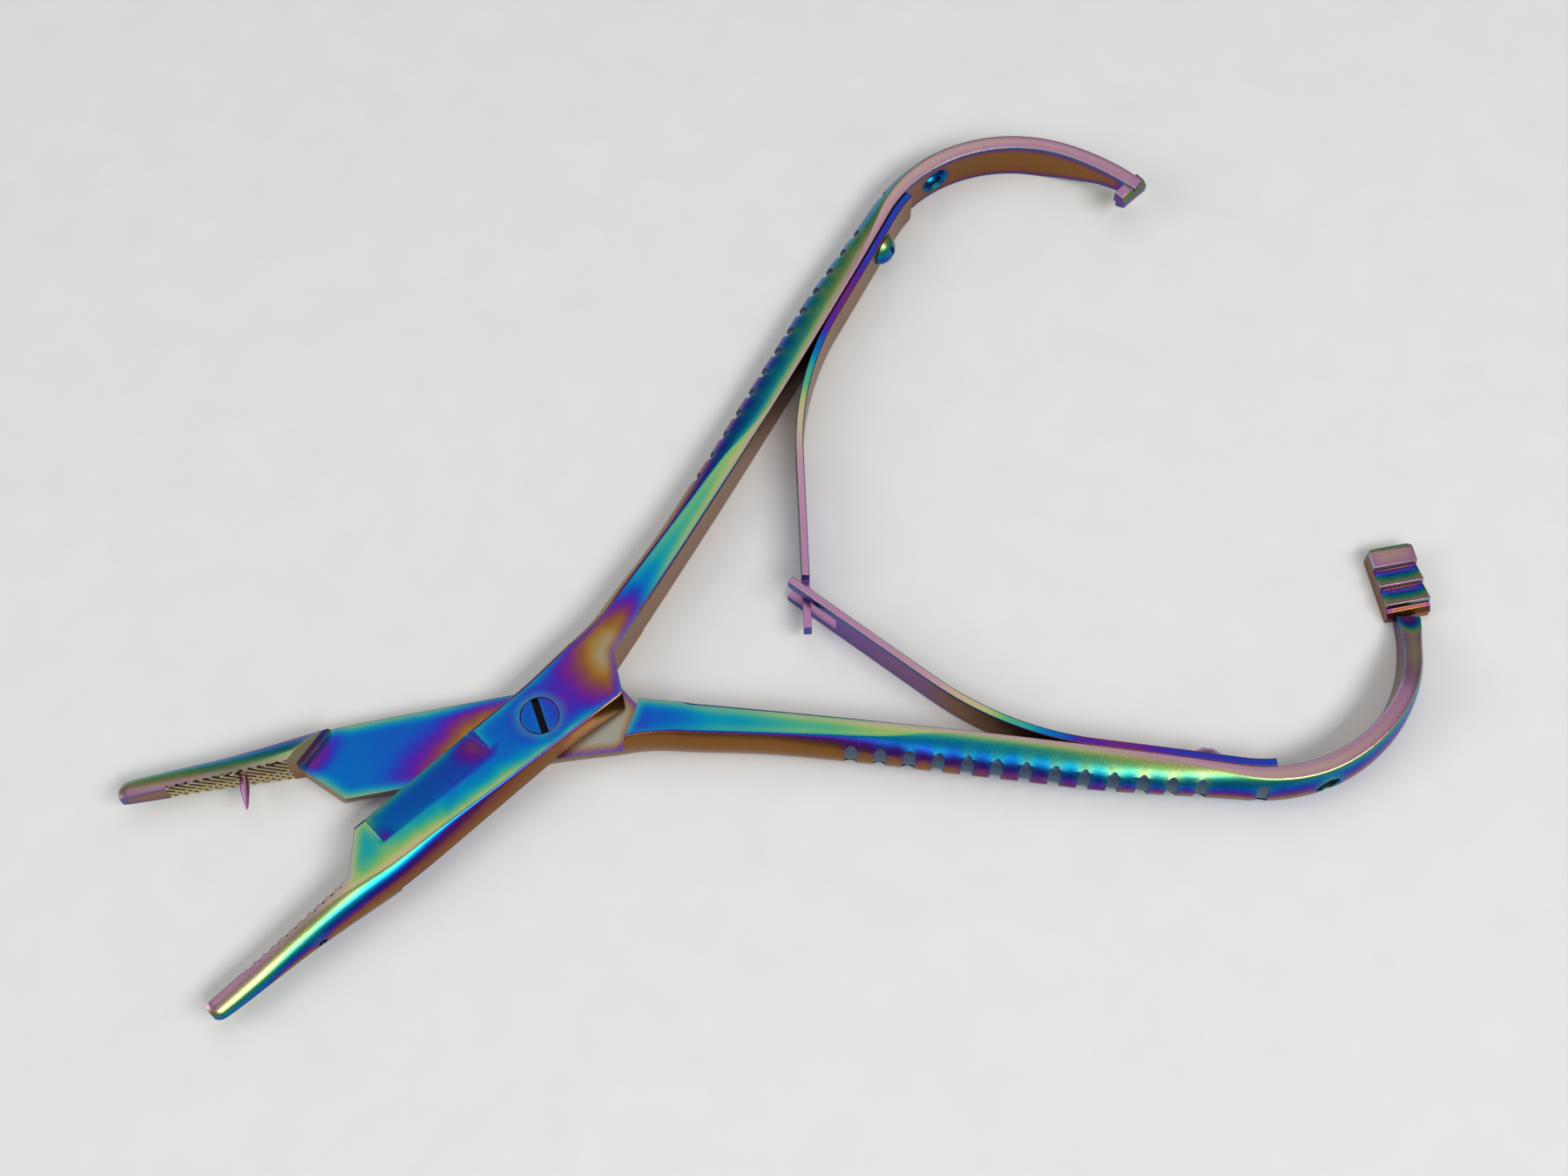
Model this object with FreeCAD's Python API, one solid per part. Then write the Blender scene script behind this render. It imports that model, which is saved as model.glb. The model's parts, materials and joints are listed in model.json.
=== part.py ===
import FreeCAD, Part
import math
import os
from FreeCAD import Vector

# Hemostat forceps with squeeze handles, millimetres.
# The pivot axis is Z through the origin, the two arms open evenly about +X, the handles
# point along +X and the jaws along -X. The forceps lies on the plane z = 0.
# Both arms are drawn closed, with arm A's handle on the +Y side, and then swung open.
# Arm B is arm A turned half a turn about the X axis, with its own jaw and handle ends.

# Stock and opening
HEIGHT = 5.6                 # thickness of the flat stock, top to bottom
OPEN_HALF = 16.0             # degrees each arm swings from closed to its resting place
LAP_GAP = 0.06               # running clearance between the two lapped halves
STOP_GAP = 0.25              # clearance at the lap's shoulders when closed
JAW_GAP = 0.10               # clearance between the clamping faces when closed

# Lap joint and blades
LAP_FRONT = 9.8              # pivot to the handle shoulder, square to it
SHOULDER_ANGLE = 30.0        # degrees the handle shoulder leans from square
JAW_ROOT = 27.5              # pivot to the jaw root, along the clamping face
BOX_FRONT_WIDTH = 4.9        # half width at the handle end of the lap
BOX_WIDTH = 4.2              # half width at the pivot, on the jaw's side
BOX_FAR_WIDTH = 4.4          # half width at the pivot, on the blade's side
BOX_RIDGE = 3.85             # half width of the flat top at the pivot
BLADE_RIDGE = 2.5            # half width of the flat top along the blades
ROOT_WIDTH = 4.1             # half width between the blade and the jaw
ROOT_FLAT = 2.2              # half width of the flat top between the blade and the jaw
SIDE_CROWN = 0.6             # side bulge past the flat top
BLADE_REACH = 4.5            # cutting edge past the clamping face
BLADE_START = 6.5            # pivot to the grind's shoulder
BLADE_LENGTH = 15.4          # length of the ground bevel
BLADE_LAND = 0.45            # clamping face to the top of the bevel
EDGE_THICKNESS = 0.3         # thickness left at the cutting edge

# Jaws
JAW_LENGTH = 47.2            # pivot to the tip
JAW_ROOT_THICKNESS = 3.6
JAW_MID_THICKNESS = 2.8
JAW_TIP_THICKNESS = 2.3
JAW_TIP_HEIGHT = 2.4
JAW_MID_HEIGHT = 4.0
JAW_SWELL = 0.3              # jaw stands this much over an even taper near its root
JAW_RIDGE = 0.4              # half width of the flat top along the jaw
ROOT_RIDGE = 1.4             # half width of the flat top at the jaw's root
ROOT_BEVEL_LENGTH = 1.2      # bevel over the jaw's root, along the clamping face
ROOT_BEVEL_DEPTH = 1.0
TIP_ROUND = 1.2              # length of the rounded tip
TIP_NOSE = 0.7               # thickness and height lost in the rounded tip
PAD_LENGTH = 5.2             # smooth pad at the tip
SERRATION_PITCH = 1.25       # groove to groove along the jaw
SERRATION_WIDTH = 0.62
SERRATION_DEPTH = 0.26
SERRATION_MARGIN = 1.0       # jaw's root to the last groove

# Cleaning pin in jaw B and its hole in jaw A
PIN_FROM_TIP = 13.6          # jaw's tip to the pin
PIN_RADIUS = 0.55
PIN_LENGTH = 3.6             # standing out of the clamping face
PIN_SEAT = 1.6               # pressed into the jaw
PIN_TIP_RADIUS = 0.12
PIN_CLEARANCE = 0.4

# Handles
SPLAY = 16.4                 # degrees of the shank's inner face at the lap
BOW = 3.2                    # degrees the shank bows outward along its length
SHANK_LENGTH = 67.6          # inner face, from the crotch to the bend
BEND_RADIUS = 17.8           # inner face of the bend
BEND_TURN = 85.6             # degrees
CURL_RADIUS = 32.0
CURL_END_Y = 4.0             # curl's end to the closed centre plane
CROTCH_Y = 0.1               # inner face off the closed centre plane at the crotch
SHANK_THICKNESS = 4.6
WAIST_THICKNESS = 4.0
GRIP_THICKNESS = 4.2
HOLE_THICKNESS = 2.9
CURL_THICKNESS = 2.5
END_THICKNESS = 2.0
SHANK_FLAT = 3.5             # width of the flat top next to the lap
GRIP_FLAT = 0.35
CURL_FLAT = 1.9

# Grooves in the outer face of each handle
GROOVE_COUNT = 13
GROOVE_FIRST = 35.0          # pivot to the first groove
GROOVE_PITCH = 3.25
LAST_GROOVE = 80.7           # pivot to the single groove past the row
GROOVE_WIDTH = 1.4
GROOVE_HEIGHT = 4.2
GROOVE_DEPTH = 0.45

# Lanyard hole through each handle
LANYARD_PLACE = 87.7         # pivot to the hole
LANYARD_RADIUS = 1.5
LANYARD_RIM = 0.35           # countersink of the hole's outer rim

# Ratchet at the handle ends
PLATE_WIDTH = 5.3
PLATE_TIP = 2.8              # past the closed centre plane
PLATE_LENGTH = 9.3
TOOTH_HEIGHT = 0.8
TOOTH_PITCH = 2.4
TOOTH_COUNT = 3
TOOTH_CREST = 0.1            # below the lap plane
TOOTH_LEAN = 0.15            # steep wall of a tooth, off upright
PLATE_SHOULDER = 0.6         # neck's end to the first tooth
PLATE_THINNING = 0.4         # plateau at the plate's tip, below the roots
PLATE_OFFSET = 0.2           # plate's middle inside the handle's middle
CATCH_TIP = 2.2              # catch to the closed centre plane
CATCH_WIDTH = 1.4
CATCH_LIP = 1.7              # lip past the handle's inner face
CATCH_DEPTH = 0.7
CATCH_HOOK = 0.35            # width of the catch's lower edge
CATCH_BEVEL = 0.6
CATCH_SETTING = 0.3          # catch's top below the handle's top, and its end past the handle
CATCH_ROOT = 0.4             # catch reaches this far into the handle
CATCH_CLEARANCE = 0.15       # over the tooth crests
CATCH_OVERRUN = 1.6          # arm A's handle runs on past the curl, into the catch
NECK_SHORT = 2.0             # arm B's handle stops short of the curl's end, in the neck

# Pivot screw
SCREW_HEAD_RADIUS = 2.18
SCREW_HEAD_HEIGHT = 1.1
SCREW_SHANK_RADIUS = 1.6
SCREW_THREAD_RADIUS = 1.3
SCREW_CLEARANCE = 0.04
SLOT_WIDTH = 0.8
SLOT_DEPTH = 0.5
SCREW_CHAMFER = 0.1

# Leaf springs and their screws
SPRING_THICKNESS = 0.92
SPRING_HEIGHT = 5.2
SPRING_SEAT_GAP = 0.05
SPRING_TAIL = 3.9            # shank's end to the leaf's tail, round the bend
SPRING_SEATED = 20.0         # leaf's tail to where it leaves the handle
SPRING_BEND_RADIUS = 38.0
SPRING_BEND_TURN = 30.1      # degrees
HOOK_REACH = 3.73            # leaf's free end past the middle of the open forceps
TONGUE_LENGTH = 5.15
TONGUE_HEIGHT = 2.0
FORK_CUT = 1.6               # fork tines end this much short of the tongue
FORK_SLOT = 7.0
FORK_CLEARANCE = 0.3
SPRING_SCREW_PLACE = 7.5     # leaf's tail to the screw, along the handle
SPRING_SCREW_BORE = 0.15     # clearance of the leaf's hole round the screw
SPRING_SCREW_HEAD = 2.0      # radius
SPRING_SCREW_DOME = 1.0
SPRING_SCREW_SHANK = 1.05
SPRING_SCREW_SEAT = 2.2      # thread length in the handle
SPRING_SCREW_SLOT = 0.6
SPRING_SCREW_SLOT_DEPTH = 0.55

HALF = HEIGHT / 2
FAR = 12.0                   # past every outline, for cutting tools
SKIM = 0.12                  # forged form stands this much proud before the flats are ground
UP = Vector(0, 0, 1)


def lap_line(distance, lean, y):
    """x of a lap shoulder that lies at a distance from the pivot and leans by an angle."""
    a = math.radians(lean)
    return (distance - y * math.sin(a)) / math.cos(a)


PLATE_FRONT = LAP_FRONT - STOP_GAP
CROTCH = Vector(lap_line(PLATE_FRONT, -SHOULDER_ANGLE, CROTCH_Y), CROTCH_Y, 0)


def along(start, length, heading, end_heading):
    """End of an arc that starts at a point and turns evenly from one heading to another."""
    a = math.radians(heading)
    b = math.radians(end_heading)
    if abs(b - a) < 1e-9:
        return start + Vector(math.cos(a), math.sin(a), 0) * length
    radius = length / (b - a)
    return start + Vector(math.sin(b) - math.sin(a), math.cos(a) - math.cos(b), 0) * radius


BEND_START = SPLAY + BOW
BEND_END = BEND_START - BEND_TURN
BEND_LENGTH = BEND_RADIUS * math.radians(BEND_TURN)
SHANK_TOP = along(CROTCH, SHANK_LENGTH, SPLAY, BEND_START)
CURL_START = along(SHANK_TOP, BEND_LENGTH, BEND_START, BEND_END)
CURL_DROP = (CURL_START.y - CURL_END_Y) / CURL_RADIUS
CURL_END = -math.degrees(math.acos(math.cos(math.radians(BEND_END)) - CURL_DROP))
CURL_LENGTH = CURL_RADIUS * math.radians(BEND_END - CURL_END)

# Arcs of the handle's inner face: length, heading at the start, heading at the end.
ROUTE = [
    (SHANK_LENGTH, SPLAY, BEND_START),
    (BEND_LENGTH, BEND_START, BEND_END),
    (CURL_LENGTH, BEND_END, CURL_END),
    (FAR, CURL_END, CURL_END),
]
CURL_START_S = SHANK_LENGTH + BEND_LENGTH
CURL_END_S = CURL_START_S + CURL_LENGTH
ARM_A_END_S = CURL_END_S + CATCH_OVERRUN
ARM_B_END_S = CURL_END_S - NECK_SHORT
SPRING_TAIL_S = SHANK_LENGTH + SPRING_TAIL
SPRING_LIFT_S = SPRING_TAIL_S - SPRING_SEATED
SPRING_SCREW_S = SPRING_TAIL_S - SPRING_SCREW_PLACE


def inner_face(s):
    """Point and heading of the handle's inner face at a distance from the crotch."""
    point = CROTCH
    for length, heading, end_heading in ROUTE:
        if s <= length or length == FAR:
            turned = heading + (end_heading - heading) * s / length
            return along(point, s, heading, turned), turned
        point = along(point, length, heading, end_heading)
        s -= length


def outward(heading):
    a = math.radians(heading)
    return Vector(-math.sin(a), math.cos(a), 0)


def distance_at(radius, offset=0.0):
    """Distance along the handle at which its inner face, moved outward, has this radius."""
    low, high = 0.0, CURL_START_S
    for _ in range(40):
        s = (low + high) / 2
        point, heading = inner_face(s)
        if (point + outward(heading) * offset).Length < radius:
            low = s
        else:
            high = s
    return s


# Handle form: share of the shank or of the bend, thickness, width of the flat top.
SHANK_FORM = [
    (0.075, SHANK_THICKNESS, SHANK_FLAT),
    (0.25, WAIST_THICKNESS, (SHANK_FLAT * 3 + GRIP_FLAT) / 4),
    (0.40, WAIST_THICKNESS, (SHANK_FLAT + GRIP_FLAT) / 2),
    (0.55, GRIP_THICKNESS, GRIP_FLAT),
    (0.74, GRIP_THICKNESS, GRIP_FLAT),
    (0.86, (GRIP_THICKNESS * 2 + HOLE_THICKNESS) / 3, GRIP_FLAT),
    (0.95, (GRIP_THICKNESS + HOLE_THICKNESS * 3) / 4, (GRIP_FLAT * 2 + CURL_FLAT) / 3),
]
BEND_FORM = [
    (0.09, HOLE_THICKNESS, (GRIP_FLAT + CURL_FLAT * 3) / 4),
    (0.39, HOLE_THICKNESS, CURL_FLAT),
    (0.69, (HOLE_THICKNESS + CURL_THICKNESS) / 2, CURL_FLAT),
]
HANDLE_FORM = [(share * SHANK_LENGTH, thick, flat) for share, thick, flat in SHANK_FORM]
HANDLE_FORM += [(SHANK_LENGTH + share * BEND_LENGTH, thick, flat) for share, thick, flat in BEND_FORM]
TAPER_START_S = SHANK_LENGTH + 0.85 * BEND_LENGTH


# Jaw form: share from the tip to the root, ridge and side off the axis, height.
JAW_FORM = [
    (0.0, TIP_NOSE, JAW_TIP_THICKNESS - TIP_NOSE, JAW_TIP_HEIGHT - TIP_NOSE),
    (TIP_ROUND / (JAW_LENGTH - JAW_ROOT), JAW_RIDGE, JAW_TIP_THICKNESS, JAW_TIP_HEIGHT),
    (0.27, JAW_RIDGE, (JAW_TIP_THICKNESS + JAW_MID_THICKNESS) / 2,
     (JAW_MID_HEIGHT + JAW_TIP_HEIGHT) / 2 - JAW_SWELL / 2),
    (0.57, JAW_RIDGE, JAW_MID_THICKNESS, JAW_MID_HEIGHT),
    (0.82, (JAW_RIDGE + ROOT_RIDGE) / 2, (JAW_MID_THICKNESS + JAW_ROOT_THICKNESS) / 2,
     (JAW_MID_HEIGHT + HEIGHT) / 2 + JAW_SWELL),
]
INSIDE = (-1.2, -1.3)        # forged form past the handle's inner face, which is then ground


def handle_thickness(s):
    before = HANDLE_FORM[0]
    for after in HANDLE_FORM[1:]:
        if s <= after[0]:
            share = (s - before[0]) / (after[0] - before[0])
            return before[1] + (after[1] - before[1]) * share
        before = after
    return before[1]


def bulge(ridge, middle, low, high):
    """Side of a section from its top edge to its bottom edge, round its widest point."""
    half = (high - low) / 2
    rise = abs(middle - ridge)
    sign = 1 if middle > ridge else -1
    points = []
    steps = 6
    for i in range(steps + 1):
        if rise < half:
            radius = (half * half + rise * rise) / (2 * rise)
            limit = math.asin(half / radius)
            a = limit * (1 - 2 * i / steps)
            u = rise - radius + radius * math.cos(a)
            z = radius * math.sin(a)
        else:
            a = math.pi / 2 * (1 - 2 * i / steps)
            u = rise * math.cos(a)
            z = half * math.sin(a)
        points.append((ridge + sign * u, (high + low) / 2 + z))
    return points


def spline(points):
    curve = Part.BSplineCurve()
    curve.interpolate(points)
    return curve.toShape()


def section(origin, heading, inner, outer, low=-HALF - SKIM, high=HALF + SKIM):
    """Wire across an arm. inner and outer are (edge of the flat, widest point)."""
    side = outward(heading)

    def place(u, z):
        return origin + side * u + UP * z

    outer_side = [place(u, z) for u, z in bulge(outer[0], outer[1], low, high)]
    inner_side = [place(u, z) for u, z in bulge(inner[0], inner[1], low, high)]
    inner_side.reverse()
    return Part.Wire([
        Part.makeLine(inner_side[-1], outer_side[0]),
        spline(outer_side),
        Part.makeLine(outer_side[-1], inner_side[0]),
        spline(inner_side),
    ])


def on_axis(x, inner, outer, height=HEIGHT + 2 * SKIM):
    return section(Vector(x, 0, 0), 0.0, inner, outer, -height / 2, height / 2)


def arm_form(end_s):
    """Outer form of arm A, closed, from the jaw's tip to a distance along the handle."""
    far_side = (BLADE_REACH - SIDE_CROWN, BLADE_REACH)
    sections = []
    for share, ridge, thickness, height in JAW_FORM:
        x = -JAW_LENGTH + (JAW_LENGTH - JAW_ROOT) * share
        sections.append(on_axis(x, (-ridge, -thickness), far_side, height))
    blade_middle = -(BLADE_START + BLADE_LENGTH * 0.7)
    blade_end = -(JAW_ROOT * 3 + BLADE_START + BLADE_LENGTH) / 4
    near_ridge = (BLADE_RIDGE + BOX_RIDGE * 2) / 3
    sections += [
        on_axis(-JAW_ROOT, (-ROOT_RIDGE, -JAW_ROOT_THICKNESS), far_side),
        on_axis(blade_end * 0.86, (-ROOT_FLAT, -ROOT_WIDTH), far_side),
        on_axis(blade_middle, (-BLADE_RIDGE, -BOX_WIDTH), far_side),
        on_axis(-BLADE_START, (-near_ridge, -BOX_WIDTH), far_side),
        on_axis(0.0, (-BOX_RIDGE, -BOX_WIDTH), (BOX_RIDGE, BOX_FAR_WIDTH)),
        on_axis(LAP_FRONT * 0.82, (-BOX_FRONT_WIDTH + SIDE_CROWN, -BOX_FRONT_WIDTH),
                (BOX_FRONT_WIDTH - SIDE_CROWN, BOX_FRONT_WIDTH)),
    ]
    for s, thickness, flat in HANDLE_FORM:
        point, heading = inner_face(s)
        sections.append(section(point, heading, INSIDE, (flat, thickness)))
    steps = 3
    for i in range(steps + 1):
        share = i / steps
        s = TAPER_START_S + (end_s - TAPER_START_S) * share
        point, heading = inner_face(s)
        thickness = CURL_THICKNESS + (END_THICKNESS - CURL_THICKNESS) * share
        eased = share * share * (3 - 2 * share)
        rise = HALF + SKIM - TOOTH_CREST + CATCH_CLEARANCE + CATCH_DEPTH
        low = -HALF - SKIM + rise * eased
        flat = min(CURL_FLAT, thickness - SIDE_CROWN / 2)
        sections.append(section(point, heading, INSIDE, (flat, thickness), low))
    form = Part.makeLoft(sections, True, False)
    reach = CURL_START.x + BEND_RADIUS
    slab = prism([(-JAW_LENGTH - FAR, -FAR), (reach, -FAR), (reach, reach),
                  (-JAW_LENGTH - FAR, reach)], -HALF, HALF)
    return form.common(slab)


def prism(corners, low, high):
    wire = Part.makePolygon([Vector(x, y, low) for x, y in corners + corners[:1]])
    return Part.Face(wire).extrude(Vector(0, 0, high - low))


def inside_of_handle():
    """Space on the inner side of arm A's shank and bend, and past the lap's free edge."""
    edges = []
    point = CROTCH
    for length, heading, end_heading in ROUTE:
        end = along(point, length, heading, end_heading)
        if heading == end_heading:
            edges.append(Part.makeLine(point, end))
        else:
            half_way = along(point, length / 2, heading, (heading + end_heading) / 2)
            edges.append(Part.Arc(point, half_way, end).toShape())
        point = end
    below = Vector(lap_line(PLATE_FRONT, -SHOULDER_ANGLE, -FAR), -FAR, 0)
    corner = Vector(point.x, -FAR, 0)
    edges.append(Part.makeLine(point, corner))
    edges.append(Part.makeLine(corner, below))
    edges.append(Part.makeLine(below, CROTCH))
    face = Part.Face(Part.Wire(edges))
    face.translate(Vector(0, 0, -FAR))
    return face.extrude(Vector(0, 0, 2 * FAR))


def arm_blank(end_s):
    """Arm A, closed, about the lap plane: jaw, ground blade, upper lap half and handle."""
    arm = arm_form(end_s).cut(inside_of_handle())

    face_y = -JAW_GAP / 2
    root = -JAW_ROOT + STOP_GAP
    past_tip = -JAW_LENGTH - FAR
    clamp_space = prism([(past_tip, face_y), (root, face_y), (root + FAR, face_y + FAR),
                         (past_tip, FAR)], -FAR, FAR)
    lower_lap = prism([(-JAW_ROOT - FAR, FAR), (lap_line(LAP_FRONT, SHOULDER_ANGLE, FAR), FAR),
                       (lap_line(LAP_FRONT, SHOULDER_ANGLE, -FAR), -FAR),
                       (-JAW_ROOT + FAR, -FAR)], -FAR, LAP_GAP / 2)

    top = HALF
    edge = LAP_GAP / 2 + EDGE_THICKNESS
    slope = (top - edge) / (BLADE_REACH - BLADE_LAND)
    grind = Part.Face(Part.makePolygon([
        Vector(-BLADE_START, BLADE_LAND, top),
        Vector(-BLADE_START, BLADE_LAND + FAR, top - slope * FAR),
        Vector(-BLADE_START, BLADE_LAND + FAR, FAR),
        Vector(-BLADE_START, BLADE_LAND, FAR),
        Vector(-BLADE_START, BLADE_LAND, top),
    ])).extrude(Vector(-BLADE_LENGTH, 0, 0))

    arm = arm.cut([clamp_space, lower_lap, grind])
    return arm.cut(serrations() + grooves() + lanyard_hole() + [root_bevel()])


def serrations():
    """V grooves slanted both ways across the clamping face, between its pad and the jaw's root."""
    cutters = []
    y = -JAW_GAP / 2
    first = -JAW_LENGTH + PAD_LENGTH
    last = -JAW_ROOT - SERRATION_MARGIN
    slant = math.radians(45)
    count = int((last - first + HEIGHT) / SERRATION_PITCH)
    for lean in (-1, 1):
        for i in range(1, count):
            middle = first - HALF + i * SERRATION_PITCH
            ends = [min(max(middle + side * HEIGHT, first), last) for side in (-1, 1)]
            ahead = Vector(math.cos(slant), 0, lean * math.sin(slant))
            across = Vector(-lean * math.sin(slant), 0, math.cos(slant))
            start = Vector(ends[0], y, lean * (ends[0] - middle))
            deep = start - Vector(0, SERRATION_DEPTH, 0)
            half = across * (SERRATION_WIDTH / 2)
            rise = (start - deep) * 2
            outline = [deep, deep + half * 2 + rise, deep - half * 2 + rise, deep]
            run = (ends[1] - ends[0]) / math.cos(slant)
            cutters.append(Part.Face(Part.makePolygon(outline)).extrude(ahead * run))
    return cutters


def root_bevel():
    """Wedge off the jaw's root, where it stands over the other arm's blade."""
    start = Vector(-JAW_ROOT - ROOT_BEVEL_LENGTH, 0, -HALF)
    corner = Vector(-JAW_ROOT, 0, ROOT_BEVEL_DEPTH - HALF)
    end = Vector(-JAW_ROOT + JAW_ROOT_THICKNESS, -JAW_ROOT_THICKNESS, -HALF)
    ahead = (end - start).normalize()
    rise = corner - start
    rise = (rise - ahead * rise.dot(ahead)) * 1.5
    start = start - ahead * JAW_ROOT_THICKNESS
    outline = [start, start + rise, start + rise - UP * HALF, start - UP * HALF, start]
    return Part.Face(Part.makePolygon(outline)).extrude(ahead * (4 * JAW_ROOT_THICKNESS))


def grooves():
    """Round-ended upright grooves across the handle's outer face."""
    cutters = []
    places = [GROOVE_FIRST + i * GROOVE_PITCH for i in range(GROOVE_COUNT)] + [LAST_GROOVE]
    for radius in places:
        s = distance_at(radius, GRIP_THICKNESS / 2)
        point, heading = inner_face(s)
        side = outward(heading)
        ahead = side.cross(UP)
        thickness = handle_thickness(s)
        r = GROOVE_WIDTH / 2
        straight = GROOVE_HEIGHT / 2 - r
        centre = point + side * GRIP_FLAT
        outline = Part.Wire([
            Part.makeLine(centre - ahead * r - UP * straight, centre - ahead * r + UP * straight),
            Part.Arc(centre - ahead * r + UP * straight, centre + UP * (straight + r),
                     centre + ahead * r + UP * straight).toShape(),
            Part.makeLine(centre + ahead * r + UP * straight, centre + ahead * r - UP * straight),
            Part.Arc(centre + ahead * r - UP * straight, centre - UP * (straight + r),
                     centre - ahead * r - UP * straight).toShape(),
        ])
        cutter = Part.Face(outline).extrude(side * thickness)
        reach = thickness - GRIP_FLAT - GROOVE_DEPTH
        drop = HALF - GROOVE_DEPTH
        base = point + side * GRIP_FLAT - ahead * GROOVE_WIDTH
        if reach >= drop:
            curve = Part.Ellipse(base + side * reach, base + UP * drop, base)
        else:
            curve = Part.Ellipse(base + UP * drop, base + side * reach, base)
        core = Part.Face(Part.Wire(curve.toShape())).extrude(ahead * GROOVE_WIDTH * 2)
        cutters.append(cutter.cut(core))
    return cutters


def lanyard_hole():
    s = distance_at(LANYARD_PLACE, HOLE_THICKNESS / 2)
    point, heading = inner_face(s)
    side = outward(heading)
    hole = Part.makeCylinder(LANYARD_RADIUS, 2 * HOLE_THICKNESS, point - side * (HOLE_THICKNESS / 2), side)
    wide = LANYARD_RADIUS + LANYARD_RIM
    rim = Part.makeCone(LANYARD_RADIUS, wide + LANYARD_RIM, 2 * LANYARD_RIM,
                        point + side * (HOLE_THICKNESS - LANYARD_RIM), side)
    return [hole, rim]


def spring_screw_axis():
    """Point on the handle's inner face and the direction into the handle."""
    point, heading = inner_face(SPRING_SCREW_S)
    return point, outward(heading)


def turn_over(shape):
    """Arm B's side of the closed forceps from arm A's."""
    return shape.rotated(Vector(0, 0, 0), Vector(1, 0, 0), 180)


def swing_open(shape, arm):
    """From the closed place to the resting place, lifted onto the plane z = 0."""
    angle = OPEN_HALF if arm == "a" else -OPEN_HALF
    placed = shape.rotated(Vector(0, 0, 0), UP, angle)
    placed.translate(Vector(0, 0, HALF))
    return placed


def catch():
    """Lip and downward tooth at the end of arm A's handle."""
    end, _ = inner_face(CURL_END_S)
    x0 = end.x - CATCH_LIP
    x1 = end.x + END_THICKNESS + CATCH_SETTING
    top = HALF - CATCH_SETTING
    tooth_low = -TOOTH_CREST + CATCH_CLEARANCE
    body_low = tooth_low + CATCH_DEPTH
    y0, y1 = CATCH_TIP, CATCH_TIP + CATCH_WIDTH
    outline = [(y0, top - CATCH_BEVEL), (y0 + CATCH_BEVEL, top), (y1 + CATCH_ROOT, top),
               (y1 + CATCH_ROOT, body_low), (y1, body_low), (y1, tooth_low),
               (y1 - CATCH_HOOK, tooth_low), (y0, body_low)]
    wire = Part.makePolygon([Vector(x0, y, z) for y, z in outline + outline[:1]])
    return Part.Face(wire).extrude(Vector(x1 - x0, 0, 0))


def ratchet_plate():
    """Toothed plate past the neck of arm B's handle, drawn on arm A's side and turned over."""
    end, _ = inner_face(CURL_END_S)
    middle = end.x + END_THICKNESS / 2 - PLATE_OFFSET
    x0, x1 = middle - PLATE_WIDTH / 2, middle + PLATE_WIDTH / 2
    crest = TOOTH_CREST
    root = TOOTH_CREST + TOOTH_HEIGHT
    neck = PLATE_LENGTH - PLATE_TIP
    outline = [(neck, HALF), (neck, root)]
    for i in range(TOOTH_COUNT):
        wall = neck - PLATE_SHOULDER - i * TOOTH_PITCH
        outline += [(wall, root), (wall - TOOTH_LEAN, crest)]
    outline += [(wall - TOOTH_PITCH, root), (-PLATE_TIP, root + PLATE_THINNING), (-PLATE_TIP, HALF)]
    wire = Part.makePolygon([Vector(x0, a, b) for a, b in outline + outline[:1]])
    return Part.Face(wire).extrude(Vector(x1 - x0, 0, 0))


def make_arm_a():
    arm = arm_blank(ARM_A_END_S).fuse(catch())
    head = SCREW_HEAD_RADIUS + SCREW_CLEARANCE
    floor = HALF - SCREW_HEAD_HEIGHT - SCREW_CLEARANCE
    cutters = [
        Part.makeCylinder(SCREW_SHANK_RADIUS + SCREW_CLEARANCE, FAR, Vector(0, 0, -1)),
        Part.makeCylinder(head, FAR, Vector(0, 0, floor)),
        Part.makeCylinder(PIN_RADIUS + PIN_CLEARANCE, FAR, Vector(PIN_FROM_TIP - JAW_LENGTH, 1, 0),
                          Vector(0, -1, 0)),
    ]
    return arm.cut(cutters + [spring_screw_bore()]).removeSplitter()


def make_arm_b():
    arm = arm_blank(ARM_B_END_S).fuse(ratchet_plate())
    cutters = [
        Part.makeCylinder(SCREW_THREAD_RADIUS, FAR, Vector(0, 0, -1)),
        Part.makeCylinder(PIN_RADIUS, PIN_SEAT, Vector(PIN_FROM_TIP - JAW_LENGTH, 0, 0), Vector(0, -1, 0)),
    ]
    return turn_over(arm.cut(cutters + [spring_screw_bore()]).removeSplitter())


def spring_screw_bore():
    point, side = spring_screw_axis()
    return Part.makeCylinder(SPRING_SCREW_SHANK, SPRING_SCREW_SEAT, point, side)


def turned(profile, ahead):
    """Round piece from (radius, distance along the axis) points, about the origin."""
    across = UP.cross(ahead) if ahead.cross(UP).Length > 0.5 else Vector(1, 0, 0)
    points = [across * radius + ahead * run for radius, run in profile]
    solid = Part.Face(Part.makePolygon(points + points[:1])).revolve(Vector(0, 0, 0), ahead, 360)
    return solid


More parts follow.
